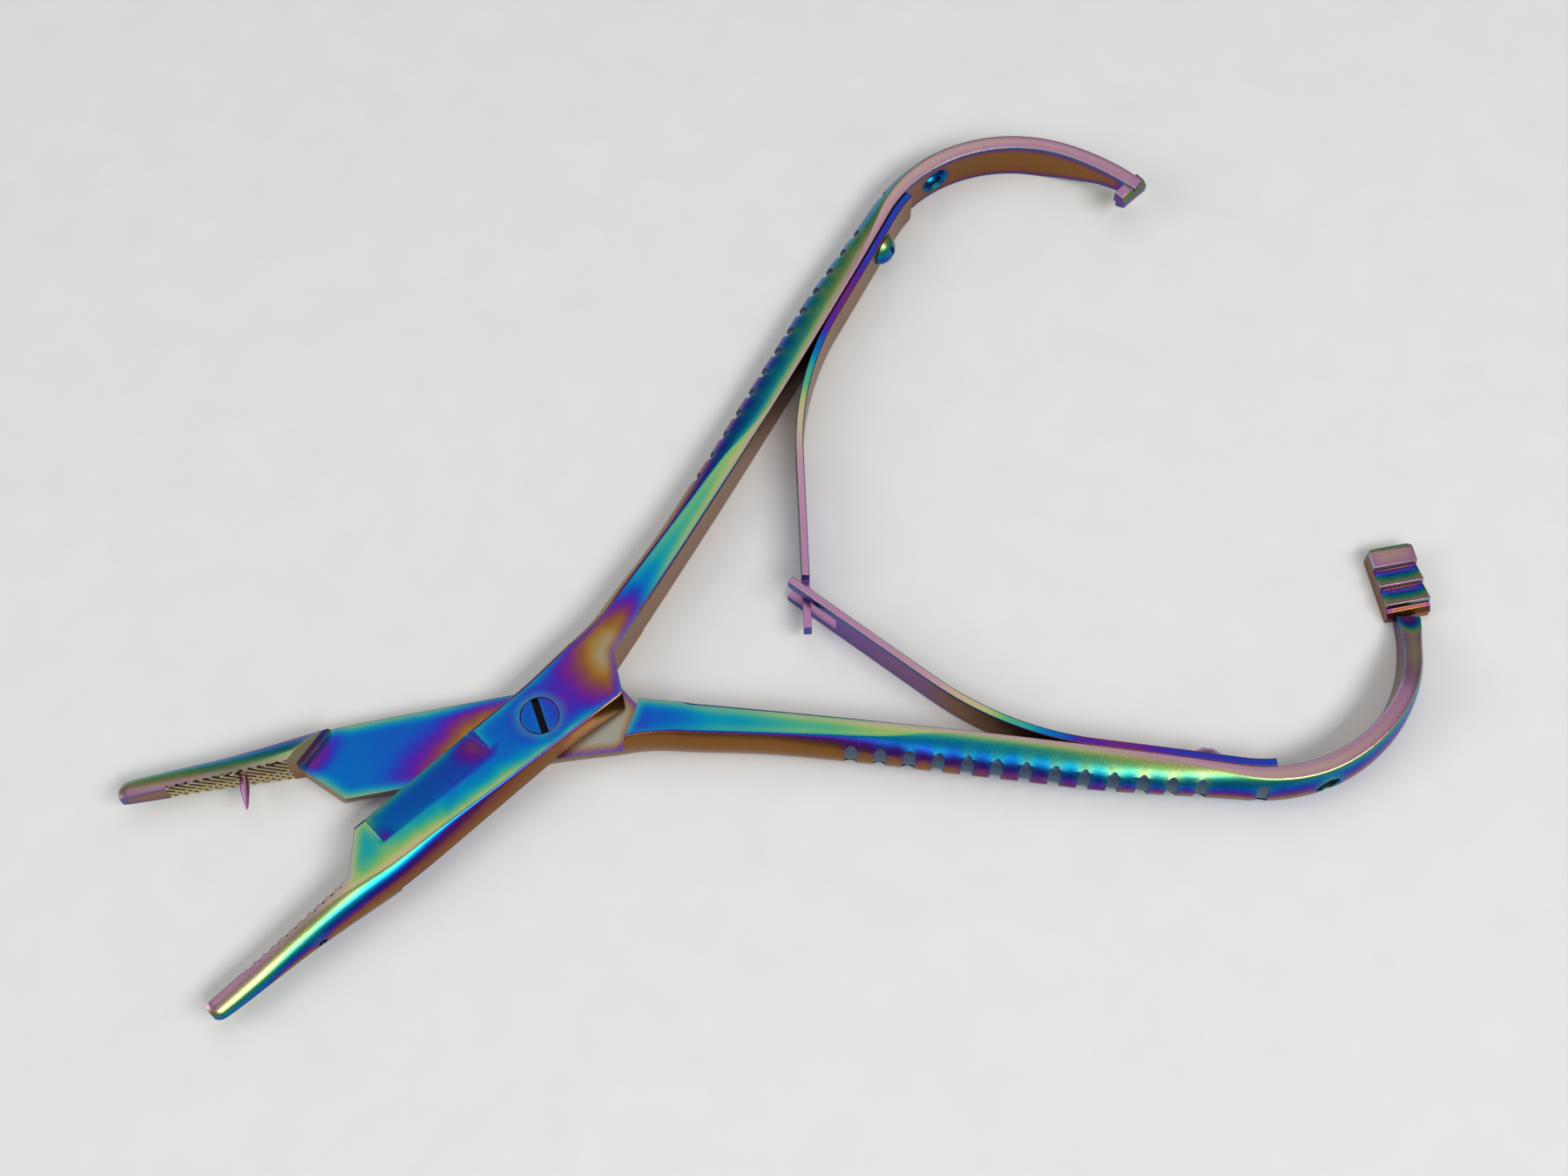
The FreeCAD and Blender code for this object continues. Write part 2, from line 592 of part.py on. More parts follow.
def pivot_screw():
    """Slotted screw with a shoulder that arm A turns on and a thread in arm B."""
    top = HALF
    seat = -LAP_GAP / 2
    soft = SCREW_CHAMFER
    screw = turned([
        (0, -HALF), (SCREW_THREAD_RADIUS - soft, -HALF), (SCREW_THREAD_RADIUS, -HALF + soft),
        (SCREW_THREAD_RADIUS, seat), (SCREW_SHANK_RADIUS, seat),
        (SCREW_SHANK_RADIUS, top - SCREW_HEAD_HEIGHT), (SCREW_HEAD_RADIUS, top - SCREW_HEAD_HEIGHT),
        (SCREW_HEAD_RADIUS, top - soft), (SCREW_HEAD_RADIUS - soft, top), (0, top),
    ], UP)
    slot = Part.makeBox(3 * SCREW_HEAD_RADIUS, SLOT_WIDTH, 2 * SLOT_DEPTH,
                        Vector(-1.5 * SCREW_HEAD_RADIUS, -SLOT_WIDTH / 2, top - SLOT_DEPTH))
    return screw.cut(slot)


def cleaning_pin():
    """Pointed pin in jaw B, drawn on arm A's side with its point towards +Y."""
    y = -JAW_GAP / 2
    pin = turned([(0, -PIN_SEAT), (PIN_RADIUS, -PIN_SEAT), (PIN_RADIUS, y),
                  (PIN_TIP_RADIUS, y + PIN_LENGTH), (0, y + PIN_LENGTH)], Vector(0, 1, 0))
    pin.translate(Vector(PIN_FROM_TIP - JAW_LENGTH, 0, 0))
    return turn_over(pin)


def leaf_spring(tongue):
    """Leaf of arm A's side, closed place: along the handle, then away from it, then straight."""
    near = SPRING_SEAT_GAP
    far = near + SPRING_THICKNESS

    def side(offset):
        """Edges of one face of the leaf and its two ends."""
        def face_point(s):
            point, heading = inner_face(s)
            return point - outward(heading) * offset

        tail, seat_end = face_point(SPRING_TAIL_S), face_point(SHANK_LENGTH)
        lift = face_point(SPRING_LIFT_S)
        edges = [
            Part.Arc(tail, face_point((SPRING_TAIL_S + SHANK_LENGTH) / 2), seat_end).toShape(),
            Part.Arc(seat_end, face_point((SHANK_LENGTH + SPRING_LIFT_S) / 2), lift).toShape(),
        ]
        _, heading = inner_face(SPRING_LIFT_S)
        back = heading + 180
        radius = SPRING_BEND_RADIUS - offset
        length = radius * math.radians(SPRING_BEND_TURN)
        middle = along(lift, length / 2, back, back + SPRING_BEND_TURN / 2)
        bend_end = along(lift, length, back, back + SPRING_BEND_TURN)
        edges.append(Part.Arc(lift, middle, bend_end).toShape())
        return edges, tail, bend_end, back + SPRING_BEND_TURN

    near_edges, near_tail, near_bend, last = side(near)
    far_edges, far_tail, far_bend, last = side(far)
    reach = to_middle(near_bend, last) + HOOK_REACH
    if not tongue:
        reach -= FORK_CUT
    near_end = along(near_bend, reach, last, last)
    far_end = along(far_bend, reach, last, last)
    near_edges.append(Part.makeLine(near_bend, near_end))
    far_edges.append(Part.makeLine(far_bend, far_end))
    outline = near_edges + [Part.makeLine(near_end, far_end)] + far_edges
    outline.append(Part.makeLine(far_tail, near_tail))
    face = Part.Face(Part.Wire(Part.__sortEdges__(outline)))
    face.translate(Vector(0, 0, -SPRING_HEIGHT / 2))
    spring = face.extrude(Vector(0, 0, SPRING_HEIGHT))

    direction = Vector(math.cos(math.radians(last)), math.sin(math.radians(last)), 0)
    across = outward(last)
    end = (near_end + far_end) * 0.5
    cutters = []
    if tongue:
        start = end - direction * TONGUE_LENGTH
        for z in (TONGUE_HEIGHT / 2, -TONGUE_HEIGHT / 2 - FAR):
            cutters.append(beam(start, direction, across, TONGUE_LENGTH + 1, z, z + FAR))
    else:
        start = end - direction * FORK_SLOT
        slot = TONGUE_HEIGHT / 2 + FORK_CLEARANCE
        cutters.append(beam(start, direction, across, FORK_SLOT + 1, -slot, slot))
    point, into = spring_screw_axis()
    cutters.append(Part.makeCylinder(SPRING_SCREW_SHANK + SPRING_SCREW_BORE, 4 * far,
                                     point - into * (2 * far), into))
    return spring.cut(cutters)


def to_middle(point, heading):
    """Distance from a point of the closed arm A, along a heading, to the open forceps' middle."""
    a = math.radians(heading)
    b = math.radians(-OPEN_HALF)
    turn = math.cos(a) * math.sin(b) - math.sin(a) * math.cos(b)
    return (point.y * math.cos(b) - point.x * math.sin(b)) / turn


def beam(start, direction, across, length, low, high):
    """Block along a direction, wide enough to cut the leaf right through."""
    a = start - across * (2 * SPRING_THICKNESS)
    b = start + across * (2 * SPRING_THICKNESS)
    corners = [(p.x, p.y) for p in (a, b, b + direction * length, a + direction * length)]
    return prism(corners, low, high)


def spring_screw():
    point, into = spring_screw_axis()
    seat = point - into * (SPRING_SEAT_GAP + SPRING_THICKNESS)
    shank = Part.makeCylinder(SPRING_SCREW_SHANK,
                              SPRING_SCREW_SEAT + SPRING_SEAT_GAP + SPRING_THICKNESS, seat, into)
    radius = (SPRING_SCREW_HEAD ** 2 + SPRING_SCREW_DOME ** 2) / (2 * SPRING_SCREW_DOME)
    ball = Part.makeSphere(radius, seat + into * (radius - SPRING_SCREW_DOME))
    head = ball.common(Part.makeCylinder(SPRING_SCREW_HEAD, SPRING_SCREW_DOME + 1, seat, into * -1))
    ahead = into.cross(UP)
    top = seat - into * SPRING_SCREW_DOME
    w = SPRING_SCREW_SLOT / 2
    a = top - ahead * w + into * SPRING_SCREW_SLOT_DEPTH
    b = a + ahead * SPRING_SCREW_SLOT
    high = UP * SPRING_HEIGHT
    slot = Part.Face(Part.makePolygon([a - high, a + high, b + high, b - high, a - high]))
    slot = slot.extrude(into * (-2 * SPRING_SCREW_DOME))
    return shank.fuse(head).cut(slot).removeSplitter()


def export(name, shape, arm):
    placed = swing_open(shape, arm)
    solid = placed if placed.ShapeType == "Solid" else placed.Solids[0]
    print(name, "solids", len(placed.Solids), "valid", solid.isValid(), "volume", round(solid.Volume, 1))
    placed.exportStep("parts/" + name + ".step")


os.makedirs("parts", exist_ok=True)
export("arm_a", make_arm_a(), "a")
export("arm_b", make_arm_b(), "b")
export("pivot_screw", pivot_screw(), "b")
export("cleaning_pin", cleaning_pin(), "b")
export("leaf_spring_a", leaf_spring(True), "a")
export("leaf_spring_b", turn_over(leaf_spring(False)), "b")
export("spring_screw_a", spring_screw(), "a")
export("spring_screw_b", turn_over(spring_screw()), "b")
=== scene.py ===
import bisect
import json
import math
from types import SimpleNamespace

import bmesh
import bpy
from bpy.props import FloatProperty, IntProperty, PointerProperty, StringProperty
from mathutils import Matrix, Vector


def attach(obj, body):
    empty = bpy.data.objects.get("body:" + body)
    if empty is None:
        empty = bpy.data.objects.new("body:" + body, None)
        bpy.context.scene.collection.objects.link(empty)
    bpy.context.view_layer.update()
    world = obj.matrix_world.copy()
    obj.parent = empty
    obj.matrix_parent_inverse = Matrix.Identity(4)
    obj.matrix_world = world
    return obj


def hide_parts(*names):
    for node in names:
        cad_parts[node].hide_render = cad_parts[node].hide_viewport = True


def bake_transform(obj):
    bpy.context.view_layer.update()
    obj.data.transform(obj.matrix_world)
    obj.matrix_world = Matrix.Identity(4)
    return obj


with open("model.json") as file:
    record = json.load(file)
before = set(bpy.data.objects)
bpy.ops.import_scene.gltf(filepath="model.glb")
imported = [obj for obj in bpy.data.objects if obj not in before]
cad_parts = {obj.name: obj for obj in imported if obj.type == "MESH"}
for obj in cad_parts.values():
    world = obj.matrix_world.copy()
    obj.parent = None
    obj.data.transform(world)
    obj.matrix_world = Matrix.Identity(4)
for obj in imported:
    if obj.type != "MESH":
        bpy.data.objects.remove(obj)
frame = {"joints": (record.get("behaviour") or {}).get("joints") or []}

# Hemostat forceps with squeeze handles, in satin stainless steel with a rainbow interference coat.
# The two arms are drawn closed about the lap plane, in millimetres: the pivot axis is Z through
# the origin, the jaws point along -X, and arm A's handle is on the +Y side. Arm B is arm A turned
# half a turn about X. Each arm then swings open, and its mesh is brought to the frame's metres.

bl_info = {
    "name": "Hemostat forceps",
    "version": (1, 0, 0),
    "blender": (4, 5, 0),
    "location": "View3D > Sidebar > Forceps",
    "description": "Lapped forceps with blades, ratchet handles, twin leaf springs "
                   "and a rainbow coat",
    "category": "Object",
}

MM = 0.001
FAR = 14.0                   # past every outline, for cutting tools
ARMS = ("a", "b")


def length(name, description, millimetres):
    return FloatProperty(name=name, description=description, default=millimetres * MM,
                         unit="LENGTH", precision=5)


def angle(name, description, degrees):
    return FloatProperty(name=name, description=description, default=math.radians(degrees),
                         subtype="ANGLE")


def colour(name, description, code):
    return StringProperty(name=name, description=description, default=code)


class LapSizes(bpy.types.PropertyGroup):
    """The lap joint, the blades and the jaws."""
    height: length("Height", "Thickness of the flat stock, top to bottom", 5.6)
    open_half: angle("Open half angle", "Each arm's swing from closed to its resting place", 16)
    lap_gap: length("Lap gap", "Running clearance between the lapped halves", 0.06)
    stop_gap: length("Stop gap", "Clearance at the lap's shoulders when closed", 0.25)
    jaw_gap: length("Jaw gap", "Clearance between the clamping faces when closed", 0.10)
    lap_front: length("Lap front", "Pivot to the handle shoulder", 9.8)
    shoulder_angle: angle("Shoulder angle", "Lean of the handle shoulder from square", 30)
    box_width: length("Box half width", "Half width of the lap at the pivot", 4.2)
    box_front: length("Box front half width", "Half width of the lap at the handle end", 4.9)
    box_ridge: length("Box ridge", "Half width of the flat top at the pivot", 3.85)
    blade_ridge: length("Blade ridge", "Half width of the flat top along the blade", 2.5)
    blade_reach: length("Blade reach", "Cutting edge past the clamping face", 4.5)
    blade_start: length("Blade start", "Pivot to the grind's shoulder", 6.5)
    blade_length: length("Blade length", "Length of the ground bevel", 15.4)
    blade_land: length("Blade land", "Clamping face to the top of the bevel", 0.45)
    edge_thickness: length("Edge thickness", "Steel left at the cutting edge", 1.9)
    grind_lean: FloatProperty(name="Grind lean", description="Run of the grind's end facet for "
                              "each unit of its depth", default=1.1)
    side_crown: length("Side crown", "Bulge of the sides past the flat top", 0.6)
    jaw_root: length("Jaw root", "Pivot to the jaw's root along the clamping face", 27.5)
    jaw_length: length("Jaw length", "Pivot to the jaw's tip", 47.2)
    tip_round: length("Tip round", "Length of the rounded tip", 1.2)
    pad_length: length("Pad length", "Smooth pad at the tip", 5.2)
    # The real diamonds are about 0.8 mm apart, drawn coarser so that they show.
    knurl_pitch: length("Knurl pitch", "Point to point of the clamping face's diamonds", 1.15)
    knurl_depth: length("Knurl depth", "Depth of the clamping face's diamonds", 0.34)
    bevel_length: length("Root bevel length", "Bevel over the jaw's root", 1.2)
    bevel_depth: length("Root bevel depth", "Bevel over the jaw's root", 1.0)
    edge_round: length("Edge round", "Rounding of the polished ridges", 0.28)


class HandleSizes(bpy.types.PropertyGroup):
    """The shanks, the grooved grips, the bends and the ratchet."""
    splay: angle("Splay", "Heading of the shank's inner face at the lap", 16.4)
    bow: angle("Bow", "Turn of the shank along its length", 3.2)
    shank_length: length("Shank length", "Inner face from the crotch to the bend", 67.6)
    bend_radius: length("Bend radius", "Inner face of the bend", 17.8)
    bend_turn: angle("Bend turn", "Turn of the bend", 85.6)
    curl_radius: length("Curl radius", "Inner face past the bend", 32)
    curl_end_y: length("Curl end", "Curl's end to the closed centre plane", 4.0)
    crotch_y: length("Crotch", "Inner face off the centre plane at the crotch", 0.1)
    shank_thickness: length("Shank thickness", "Next to the lap", 4.6)
    waist_thickness: length("Waist thickness", "Between the lap and the grip", 4.0)
    grip_thickness: length("Grip thickness", "Along the grooves", 4.2)
    hole_thickness: length("Thickness at the hole", "Where the lanyard hole is drilled", 2.9)
    curl_thickness: length("Curl thickness", "Past the bend", 2.5)
    end_thickness: length("End thickness", "At the handle's end", 2.0)
    shank_flat: length("Shank flat", "Width of the flat top next to the lap", 3.5)
    grip_flat: length("Grip flat", "Width of the flat top along the grooves", 0.35)
    curl_flat: length("Curl flat", "Width of the flat top past the bend", 1.9)
    groove_count: IntProperty(name="Grooves", description="Grooves in a row", default=13)
    groove_first: length("First groove", "Pivot to the first groove", 35)
    groove_pitch: length("Groove pitch", "Groove to groove", 3.25)
    last_groove: length("Last groove", "Pivot to the single groove past the row", 80.7)
    groove_width: length("Groove width", "Along the handle", 1.4)
    groove_height: length("Groove height", "Over the rounded ends", 4.2)
    groove_depth: length("Groove depth", "Below the handle's outer face", 0.45)
    lanyard_place: length("Lanyard place", "Pivot to the lanyard hole", 87.7)
    lanyard_radius: length("Lanyard radius", "Radius of the lanyard hole", 1.5)
    plate_width: length("Plate width", "Width of the toothed plate", 5.3)
    plate_tip: length("Plate tip", "Plate past the closed centre plane", 2.8)
    plate_length: length("Plate length", "Length of the toothed plate", 8.5)
    plate_corner: length("Plate corner", "Rounding of the plate's two tip corners", 0.7)
    plate_plateau: length("Plate plateau", "Plate's tip to the first crest", 2.5)
    neck_thickness: length("Neck thickness", "Handle B where it meets the plate", 3.0)
    tooth_height: length("Tooth height", "Root to crest", 0.8)
    tooth_pitch: length("Tooth pitch", "Tooth to tooth", 2.45)
    tooth_count: IntProperty(name="Teeth", description="Teeth on the plate", default=3)
    tooth_crest: length("Tooth crest", "Crest below the lap plane", 0.1)
    catch_tip: length("Catch tip", "Catch to the closed centre plane", 2.2)
    catch_width: length("Catch width", "Along the handle's end", 1.4)
    catch_lip: length("Catch lip", "Lip past the handle's inner face", 1.7)
    catch_depth: length("Catch depth", "Tooth under the lip", 0.7)
    catch_clearance: length("Catch clearance", "Over the plate's crests", 0.15)
    catch_overrun: length("Catch overrun", "Handle A past the curl's end", 1.6)
    neck_short: length("Neck", "Handle B short of the curl's end", 2.0)


class FastenerSizes(bpy.types.PropertyGroup):
    """The pivot screw, the cleaning pin, the leaf springs and their screws."""
    head_radius: length("Head radius", "Pivot screw's head", 2.18)
    head_height: length("Head height", "Pivot screw's head", 1.1)
    shank_radius: length("Shank radius", "Pivot screw's shoulder", 1.6)
    thread_radius: length("Thread radius", "Pivot screw's thread", 1.3)
    screw_gap: length("Screw gap", "Round the pivot screw's head", 0.04)
    slot_width: length("Slot width", "Pivot screw's slot", 0.8)
    slot_turn: angle("Slot turn", "Slot's direction off the arm's own axis", 98.4)
    slot_depth: length("Slot depth", "Pivot screw's slot", 0.5)
    pin_from_tip: length("Pin place", "Jaw's tip to the cleaning pin", 13.6)
    pin_radius: length("Pin radius", "Cleaning pin's base", 0.52)
    pin_exit: length("Pin exit radius", "Narrow end of the pin's hole", 0.42)
    pin_length: length("Pin length", "Standing out of the clamping face", 3.6)
    pin_seat: length("Pin seat", "Pressed into the jaw", 1.6)
    pin_tip: length("Pin tip radius", "Cleaning pin's point", 0.12)
    pin_gap: length("Pin gap", "Round the pin in the other jaw", 0.4)
    leaf_thickness: length("Leaf thickness", "Spring strip", 0.92)
    leaf_height: length("Leaf height", "Spring strip", 5.2)
    leaf_gap: length("Leaf gap", "Spring strip to the handle", 0.05)
    leaf_tail: length("Leaf tail", "Crotch to the strip's tail, along the handle", 71.5)
    leaf_lift: length("Leaf lift", "Crotch to where the strip leaves the handle", 51.5)
    leaf_bend_radius: length("Leaf bend radius", "Away from the handle", 38)
    leaf_bend_turn: angle("Leaf bend turn", "Away from the handle", 30.1)
    leaf_straight: length("Leaf straight", "Straight end of the strip", 22)
    leaf_round: length("Leaf round", "Rounded edges of the strip", 0.16)
    tongue_length: length("Tongue length", "Narrow end of strip A", 5.9)
    tongue_height: length("Tongue height", "Narrow end of strip A", 2.0)
    fork_cut: length("Fork cut", "Strip B ends this much short", 1.6)
    fork_slot: length("Fork slot", "Length of strip B's slot", 7.0)
    fork_gap: length("Fork gap", "Tongue to the slot's sides", 0.3)
    screw_place: length("Spring screw place", "Crotch to the screw, along the handle", 64)
    dome_radius: length("Dome radius", "Spring screw's head", 2.0)
    dome_height: length("Dome height", "Spring screw's head", 1.45)
    screw_shank: length("Spring screw shank", "Radius of the shank", 1.05)
    screw_seat: length("Spring screw seat", "Thread in the handle", 2.2)
    screw_slot: length("Spring screw slot", "Width of the slot", 0.6)
    dome_slot_depth: length("Spring screw slot depth", "Depth of the slot", 0.5)


class CoatColours(bpy.types.PropertyGroup):
    """Interference colours of the coat, from its thinnest to its thickest."""
    bare: colour("Bare steel", "No coat to speak of", "#8F9BA0")
    gold: colour("Gold", "Thinnest coat", "#9C7A1E")
    bronze: colour("Bronze", "Just past gold", "#7A3A1E")
    purple: colour("Purple", "Between bronze and blue", "#63188C")
    indigo: colour("Indigo", "Between purple and blue", "#2C2AA4")
    blue: colour("Blue", "First blue", "#0B4FAE")
    cyan: colour("Cyan", "Pale end of the blue", "#087FAE")
    teal: colour("Teal", "Between cyan and green", "#129593")
    green: colour("Green", "First green", "#4FA56F")
    lime: colour("Yellow-green", "Between green and cream", "#98AE55")
    cream: colour("Cream", "Between yellow-green and pink", "#BDB083")
    pink: colour("Pink", "Pale pink", "#C0939B")
    mauve: colour("Mauve", "Thickest coat", "#A06EA0")


SIZE_GROUPS = {"forceps_lap": LapSizes, "forceps_handles": HandleSizes,
               "forceps_fasteners": FastenerSizes}


def sizes():
    """Every size: lengths in millimetres, angles in radians, counts as they are."""
    found = {}
    for attribute, group in SIZE_GROUPS.items():
        values = getattr(bpy.context.scene, attribute)
        for name in group.__annotations__:
            value = getattr(values, name)
            is_length = values.bl_rna.properties[name].unit == "LENGTH"
            found[name] = value / MM if is_length else value
    z = SimpleNamespace(**found)
    z.half = z.height / 2
    z.plate_front = z.lap_front - z.stop_gap
    z.crotch = Vector((lap_line(z.plate_front, -z.shoulder_angle, z.crotch_y), z.crotch_y))
    z.face_y = -z.jaw_gap / 2
    add_route(z)
    return z


def lap_line(distance, lean, y):
    """x of a lap shoulder that lies at a distance from the pivot and leans by an angle."""
    return (distance - y * math.sin(lean)) / math.cos(lean)


def forward(heading):
    return Vector((math.cos(heading), math.sin(heading)))


def outward(heading):
    return Vector((-math.sin(heading), math.cos(heading)))


def along(start, run, heading, end_heading):
    """End of an arc that starts at a point and turns evenly from one heading to another."""
    if abs(end_heading - heading) < 1e-9:
        return start + forward(heading) * run
    radius = run / (end_heading - heading)
    turn = (math.sin(end_heading) - math.sin(heading), math.cos(heading) - math.cos(end_heading))
    return start + Vector(turn) * radius


def add_route(z):
    """Arcs of the handle's inner face: length, heading at the start, heading at the end."""
    bend_start = z.splay + z.bow
    bend_end = bend_start - z.bend_turn
    z.bend_length = z.bend_radius * z.bend_turn
    top = along(z.crotch, z.shank_length, z.splay, bend_start)
    curl_start = along(top, z.bend_length, bend_start, bend_end)
    drop = (curl_start.y - z.curl_end_y) / z.curl_radius
    curl_end = -math.acos(math.cos(bend_end) - drop)
    curl_length = z.curl_radius * (bend_end - curl_end)
    z.curl_end_s = z.shank_length + z.bend_length + curl_length
    z.route = [
        (z.shank_length, z.splay, bend_start),
        (z.bend_length, bend_start, bend_end),
        (curl_length, bend_end, curl_end),
        (FAR, curl_end, curl_end),
    ]


def inner_face(z, s):
    """Point and heading of the handle's inner face at a distance from the crotch."""
    point = z.crotch
    for run, heading, end_heading in z.route:
        if s <= run or run == FAR:
            turned = heading + (end_heading - heading) * s / run
            return along(point, s, heading, turned), turned
        point = along(point, run, heading, end_heading)
        s -= run


def distance_at(z, radius, offset):
    """Distance along the handle at which its inner face, moved outward, has this radius."""
    low, high = 0.0, z.shank_length + z.bend_length
    for _ in range(40):
        s = (low + high) / 2
        point, heading = inner_face(z, s)
        if (point + outward(heading) * offset).length < radius:
            low = s
        else:
            high = s
    return s


def blend_weights(t, run):
    """Weights of both ends and of their slopes, for a smooth step of length run."""
    return ((1 + 2 * t) * (1 - t) ** 2, t * t * (3 - 2 * t),
            t * (1 - t) ** 2 * run, t * t * (t - 1) * run)


def curve_through(keys):
    """Function that passes through keys of (place, value, value ...) with no overshoot."""
    places = [key[0] for key in keys]
    tables = []
    for values in zip(*[key[1:] for key in keys]):
        rises = [(b - a) / (q - p) for p, q, a, b in zip(places, places[1:], values, values[1:])]
        slopes = [0.0 if p * q <= 0 else 2 * p * q / (p + q) for p, q in zip(rises, rises[1:])]
        tables.append((values, [rises[0]] + slopes + [rises[-1]]))

    def values_at(place):
        i = min(max(bisect.bisect_right(places, place) - 1, 0), len(places) - 2)
        run = places[i + 1] - places[i]
        a, b, c, d = blend_weights((place - places[i]) / run, run)
        return [v[i] * a + v[i + 1] * b + m[i] * c + m[i + 1] * d for v, m in tables]

    return values_at


def arm_form(z):
    """Keys of the forging: place, inner ridge and side, outer ridge and side, low, high."""
    half, crown = z.half, z.side_crown
    far = (z.blade_reach - crown, z.blade_reach)
    jaw = z.jaw_length - z.jaw_root
    mid_thickness, root_thickness, tip_thickness = 2.8, 3.6, 2.3
    mid_height, tip_height = 2.0, 1.2
    jaw_keys = [
        (0.0, 0.7, tip_thickness - 0.7, tip_height - 0.3),
        (z.tip_round / jaw * 0.4, 0.55, tip_thickness - 0.2, tip_height - 0.06),
        (z.tip_round / jaw, 0.5, tip_thickness, tip_height),
        (0.27, 0.4, (tip_thickness + mid_thickness) / 2, (mid_height + tip_height) / 2 - 0.1),
        (0.57, 0.4, mid_thickness, mid_height),
        (0.82, 0.9, (mid_thickness + root_thickness) / 2, (mid_height + half) / 2 + 0.15),
        (1.0, 1.4, root_thickness, half),
    ]
    keys = [(-z.jaw_length + jaw * share, -ridge, -side, *far, -rise, rise)
            for share, ridge, side, rise in jaw_keys]
    blade_end = -(z.jaw_root * 3 + z.blade_start + z.blade_length) / 4
    near_ridge = (z.blade_ridge + z.box_ridge * 2) / 3
    flats = [
        (blade_end * 0.86, -z.blade_ridge + 0.3, -z.box_width + 0.1, *far),
        (-(z.blade_start + z.blade_length * 0.7), -z.blade_ridge, -z.box_width, *far),
        (-z.blade_start, -near_ridge, -z.box_width, *far),
        (0.0, -z.box_ridge, -z.box_width, z.box_ridge, z.box_width + 0.2),
        (z.lap_front * 0.82, -z.box_front + crown, -z.box_front, z.box_front - crown, z.box_front),
    ]
    return keys + [key + (-half, half) for key in flats]


def handle_form(z, end_s, end_thickness):
    """Keys of a handle: place, inner ridge and side, outer ridge and side, low, high."""
    half, flat, grip = z.half, z.shank_flat, z.grip_flat
    shank = [
        (0.089, z.shank_thickness, flat),
        (0.25, z.waist_thickness, (flat * 3 + grip) / 4),
        (0.40, z.waist_thickness, (flat + grip) / 2),
        (0.55, z.grip_thickness, grip),
        (0.74, z.grip_thickness, grip),
        (0.86, (z.grip_thickness * 2 + z.hole_thickness) / 3, grip),
        (0.95, (z.grip_thickness + z.hole_thickness * 3) / 4, (grip * 2 + z.curl_flat) / 3),
    ]
    bend = [
        (0.09, z.hole_thickness, (grip + z.curl_flat * 3) / 4),
        (0.39, z.hole_thickness, z.curl_flat),
        (0.69, (z.hole_thickness + z.curl_thickness) / 2, z.curl_flat),
    ]
    keys = [(share * z.shank_length, 0.0, 0.0, ridge, side, -half, half)
            for share, side, ridge in shank]
    keys += [(z.shank_length + share * z.bend_length, 0.0, 0.0, ridge, side, -half, half)
             for share, side, ridge in bend]
    taper = z.shank_length + 0.85 * z.bend_length
    steps = 3
    for i in range(steps + 1):
        share = i / steps
        eased = share * share * (3 - 2 * share)
        side = z.curl_thickness + (z.end_thickness - z.curl_thickness) * share
        flare = (end_thickness - z.end_thickness) / 2 * share ** 3
        rise = (half - z.tooth_crest + z.catch_clearance + z.catch_depth) * eased
        ridge = min(z.curl_flat, side - z.side_crown / 2) + flare
        keys.append((taper + (end_s - taper) * share, -flare, -flare, ridge, side + flare,
                     -half + rise, half))
    return keys


def bulge(ridge, side, low, high):
    """One side of a section from its top edge to its bottom edge, round its widest point."""
    half = (high - low) / 2
    rise = abs(side - ridge)
    sign = 1 if side > ridge else -1
    steps = 8
    points = []
    for i in range(steps + 1):
        share = 1 - 2 * i / steps
        if rise < 1e-6:
            u, w = 0.0, half * share
        elif rise < half:
            radius = (half * half + rise * rise) / (2 * rise)
            turned = math.asin(half / radius) * share
            u, w = rise - radius + radius * math.cos(turned), radius * math.sin(turned)
        else:
            turned = math.pi / 2 * share
            u, w = rise * math.cos(turned), half * math.sin(turned)
        points.append(Vector((ridge + sign * u, (high + low) / 2 + w)))
    return points


def rounded(points, corners, cut):
    """The outline with the corners at these places eased over a distance."""
    out = []
    count = len(points)
    for i, point in enumerate(points):
        if i not in corners:
            out.append(point)
            continue
        before = points[i - 1] - point
        after = points[(i + 1) % count] - point
        a = point + before * min(0.45, cut / max(before.length, 1e-6))
        b = point + after * min(0.45, cut / max(after.length, 1e-6))
        for share in (0.0, 0.25, 0.5, 0.75, 1.0):
            out.append(a.lerp(point, share).lerp(point.lerp(b, share), share))
    return out


def section(inner_ridge, inner_side, outer_ridge, outer_side, low, high, cut):
    """Outline across an arm, from the top middle round the outer side and back."""
    outer = bulge(outer_ridge, outer_side, low, high)
    inner = bulge(inner_ridge, inner_side, low, high)
    inner.reverse()
    top = [inner[-1].lerp(outer[0], share) for share in (0.2, 0.4, 0.6, 0.8)]
    bottom = [outer[-1].lerp(inner[0], share) for share in (0.2, 0.4, 0.6, 0.8)]
    points = outer + bottom + inner + top
    size = len(outer)
    corners = {0, size - 1, size + 4, 2 * size + 3}
    return rounded(points, corners, cut)


def ring(mesh, points):
    """A closed loop of edges through these points."""
    verts = [mesh.verts.new(point) for point in points]
    return [mesh.edges.new(pair) for pair in zip(verts, verts[1:] + verts[:1])]


def add_loop(mesh, origin, heading, outline):
    """A loop with this outline, square to a heading."""
    side = outward(heading)
    return ring(mesh, [(*(origin + side * u), w) for u, w in outline])


def skin(mesh, loops):
    """Bridges each loop to the next and closes the two ends."""
    for near, far in zip(loops, loops[1:]):
        bmesh.ops.bridge_loops(mesh, edges=near + far)
    for loop in (loops[0], loops[-1]):
        bmesh.ops.contextual_create(mesh, geom=loop)
    bmesh.ops.recalc_face_normals(mesh, faces=mesh.faces[:])


